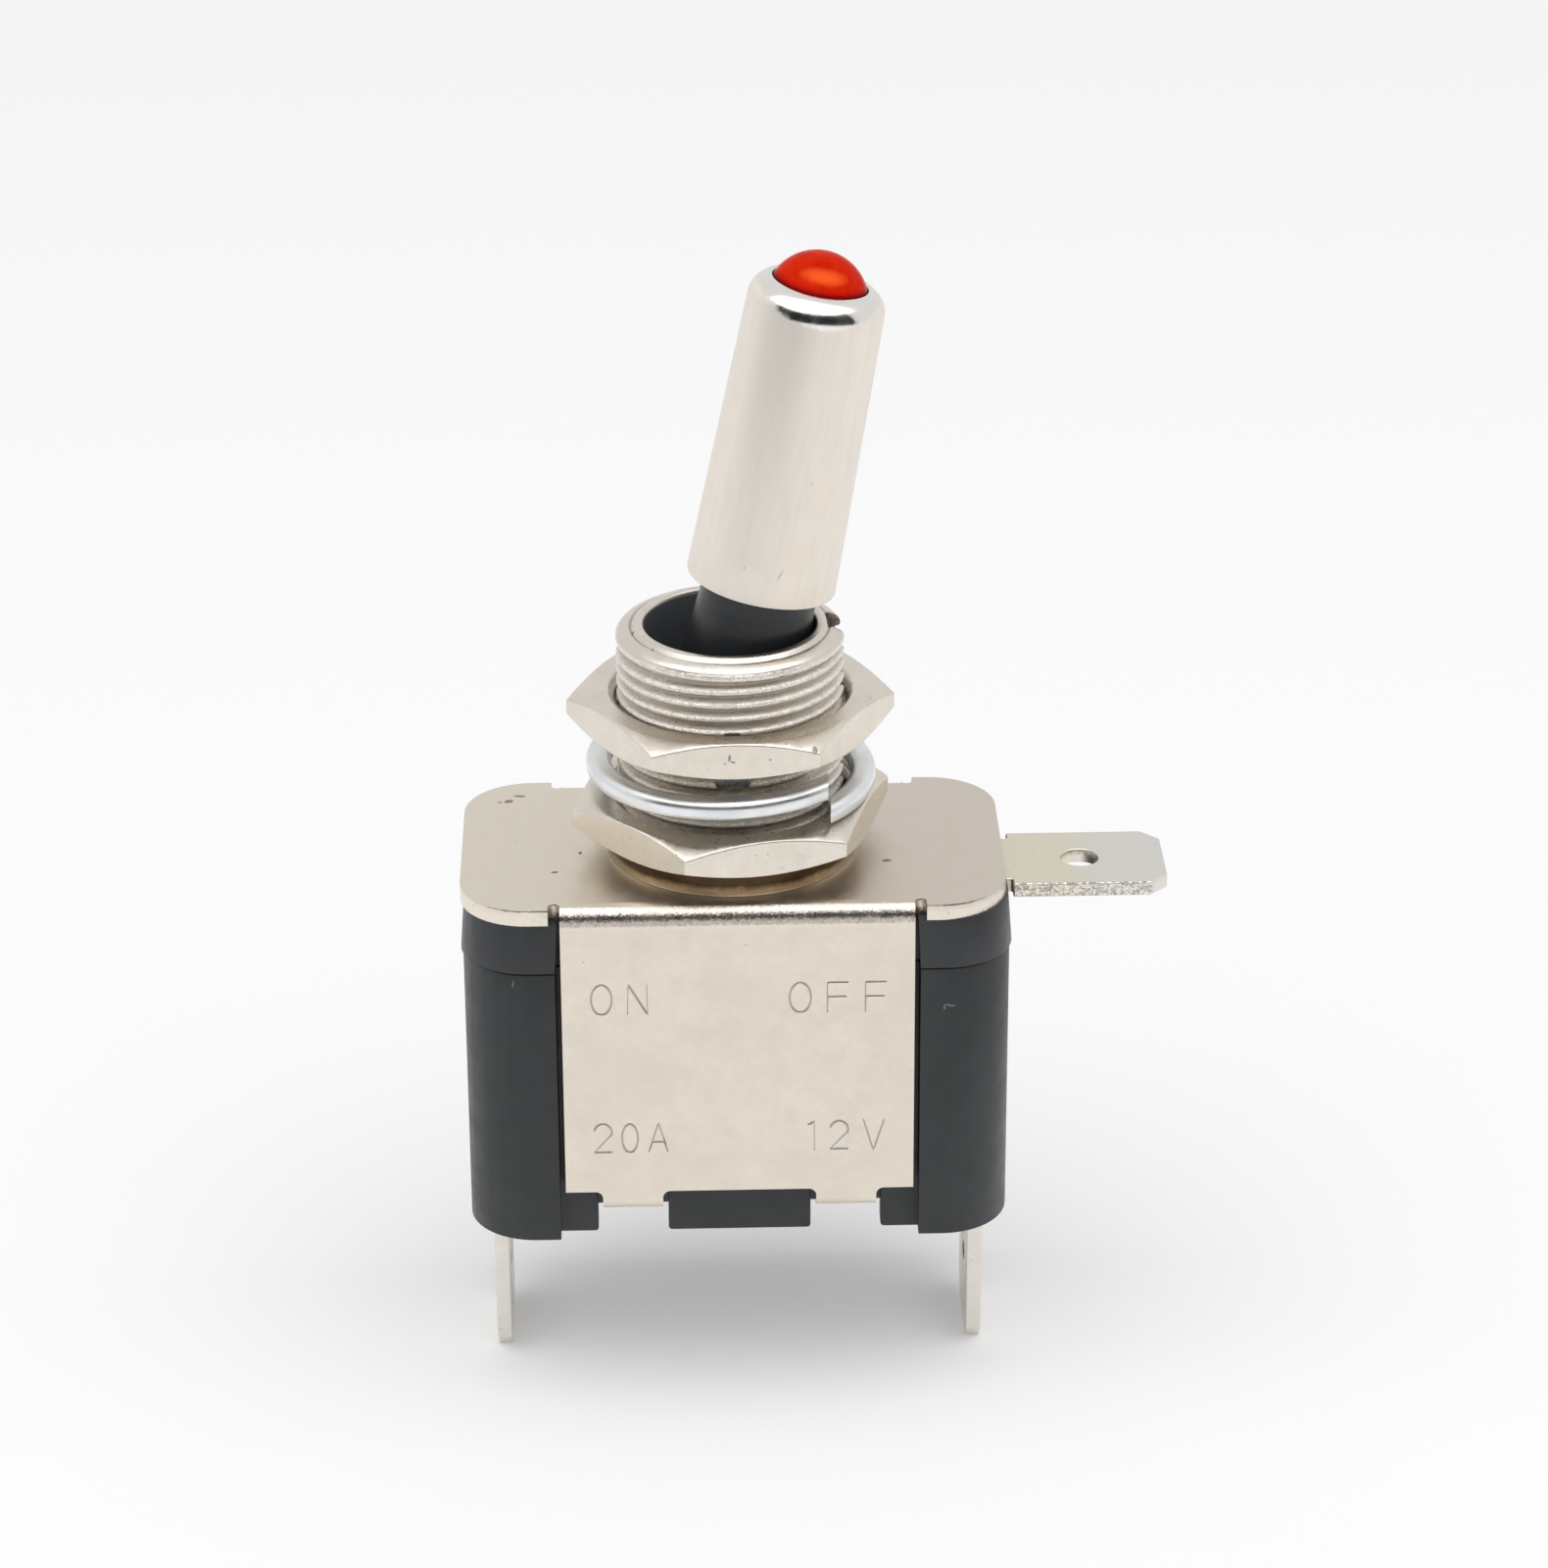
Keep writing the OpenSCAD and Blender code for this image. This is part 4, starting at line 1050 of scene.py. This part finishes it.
def add_flanks(mesh):
    """Beside each crimp tab the rim reaches down to the folded sheet."""
    work = bmesh.new()
    work.from_mesh(mesh)
    size = Matrix.Diagonal((*mm(0.29, 0.98, 0.86), 1))
    for side, tab, flank in itertools.product((-1, 1), repeat=3):
        middle = mm(CASE_X + tab * NOTCH_X + flank * 1.74, side * 6.48, -17.52)
        bmesh.ops.create_cube(work, size=1, matrix=Matrix.Translation(middle) @ size)
    work.to_mesh(mesh)
    work.free()


def dress_rounded():
    """Pieces whose CAD shape is right, or nearly, and whose edges want rounding."""
    for node, name, material, width, body, slot in (
        ("base_housing", "case_moulding", CASE, 0.13, "case", "black_case"),
        ("housing_lid", "lid_moulding", LID, 0.13, "case", "black_lid"),
        ("lower_nut", "back_hexagon", NUTS, 0.07, "back_nut", "nickel_turned"),
        ("upper_nut", "front_hexagon", NUTS, 0.07, "front_nut", "nickel_turned"),
        ("load_terminal", "load_blade_stock", BLADE, 0.12, "case", "tinned_brass"),
        ("supply_terminal", "supply_blade_stock", BLADE, 0.12, "case", "tinned_brass"),
        ("ground_terminal", "ground_tab_stock", TAB, 0.10, "case", "ground_plate"),
    ):
        obj = clean_copy(node, name, material)
        if node == "housing_lid":
            draft_lid(obj.data)
        if node == "base_housing":
            add_flanks(obj.data)
        round_edges(obj, width)
        if material in (NUTS, BLADE, TAB):
            keep_flat(obj)
        stand_in(obj, body, node)


def dress_plain():
    """CAD nodes that stay as they are and take a finish."""
    for node, material in (
        ("lever_stem", STEM), ("lens", LENS), ("led", EPOXY), ("led_resistor", RESISTOR),
        ("anode_lead", WIRE), ("cathode_lead", WIRE), ("pivot_pin", STEEL), ("fixed_contact", SILVER),
        ("moving_contact", SILVER), ("rocker_contact", COPPER), ("plunger", BRASS),
    ):
        paint(nodes[node], material)


# ---------- studio


def matt(name, **fixed):
    """A matt material, with values set on its shader's own sockets."""
    material = bpy.data.materials.new(name)
    material.use_nodes = True
    shader = material.node_tree.nodes["Principled BSDF"]
    for socket, value in fixed.items():
        shader.inputs[socket.replace("_", " ")].default_value = value
    shader.inputs["Roughness"].default_value = 1.0
    shader.inputs["Specular IOR Level"].default_value = 0.0
    return material


def seen_directly(graph):
    """Two masks: 1 for what the camera sees, and 1 for what the camera, a mirror or a clear part sees.

    Both are 0 for light on its way to a matt surface."""
    paths = graph.add("ShaderNodeLightPath")
    camera, mirror, clear = (paths.outputs[f"Is {ray} Ray"] for ray in ("Camera", "Glossy", "Transmission"))
    return camera, graph.maths("MAXIMUM", graph.maths("MAXIMUM", camera, mirror), clear)


def white_table():
    """A matt white table, seen a little lighter in the shade than it lights the object."""
    lights, shows, glow = (0.93, 0.93, 0.93), (0.84, 0.84, 0.845), 0.19
    material = matt("floor_white", Emission_Color=(1, 1, 1, 1))
    graph = Graph(material.node_tree)
    shader = graph.tree.nodes["Principled BSDF"]
    _, seen = seen_directly(graph)
    graph.feed(shader.inputs["Base Color"], graph.mix(seen, lights, shows))
    graph.feed(shader.inputs["Emission Strength"], graph.maths("MULTIPLY", seen, glow))
    return material


def add_table():
    reach, corners = 2500, 96
    points = [(0, 0, FLOOR_Z), *ring(reach, FLOOR_Z, corners)]
    faces = [(0, a + 1, (a + 1) % corners + 1) for a in range(corners)]
    return new_mesh("floor", points, faces, white_table())


def add_dim_side():
    """The dim side of the room, behind the camera: metal mirrors it, and it lights and hides nothing."""
    away, low, high = 330, -4, 292
    turns = [math.radians(a) for a in range(-70, 71, 10)]
    around = [(away * math.sin(t), -away * math.cos(t)) for t in turns]
    count = len(around)
    points = [(x, y, z) for z in (low, high) for x, y in around]
    faces = [(k, k + 1, k + 1 + count, k + count) for k in range(count - 1)]
    screen = new_mesh("dim_side", points, faces, matt("dim_grey", Base_Color=(0.03, 0.03, 0.03, 1)))
    screen.visible_camera = False
    screen.visible_diffuse = False
    screen.visible_shadow = False
    return screen


def add_softbox():
    """A wide soft light overhead, in metres and watts."""
    lamp = bpy.data.lights.new("softbox", "AREA")
    lamp.shape = "RECTANGLE"
    lamp.size, lamp.size_y = 2.40, 1.33
    lamp.energy = 12.0
    add_object("softbox", lamp).location = mm(0, -485, 1000)


def light_room():
    """The room lights with one strength, mirrors show a higher one, and the camera sees near white."""
    lights, mirrors_add, camera_adds = 0.50, 0.30, 0.125
    world = bpy.data.worlds.new("room")
    world.use_nodes = True
    graph = Graph(world.node_tree)
    background = graph.tree.nodes["Background"]
    background.inputs["Color"].default_value = (0.99, 0.99, 1.0, 1)
    camera, seen = seen_directly(graph)
    strength = graph.maths("MULTIPLY_ADD", seen, mirrors_add, lights)
    strength = graph.maths("MULTIPLY_ADD", camera, camera_adds, strength)
    graph.feed(background.inputs["Strength"], strength)
    bpy.context.scene.world = world
    bpy.context.scene.view_settings.view_transform = "Standard"


dress_bushing()
dress_cover()
dress_washer()
dress_spring()
dress_sleeve()
dress_rounded()
dress_plain()
floor, screen = add_table(), add_dim_side()
add_softbox()
light_room()
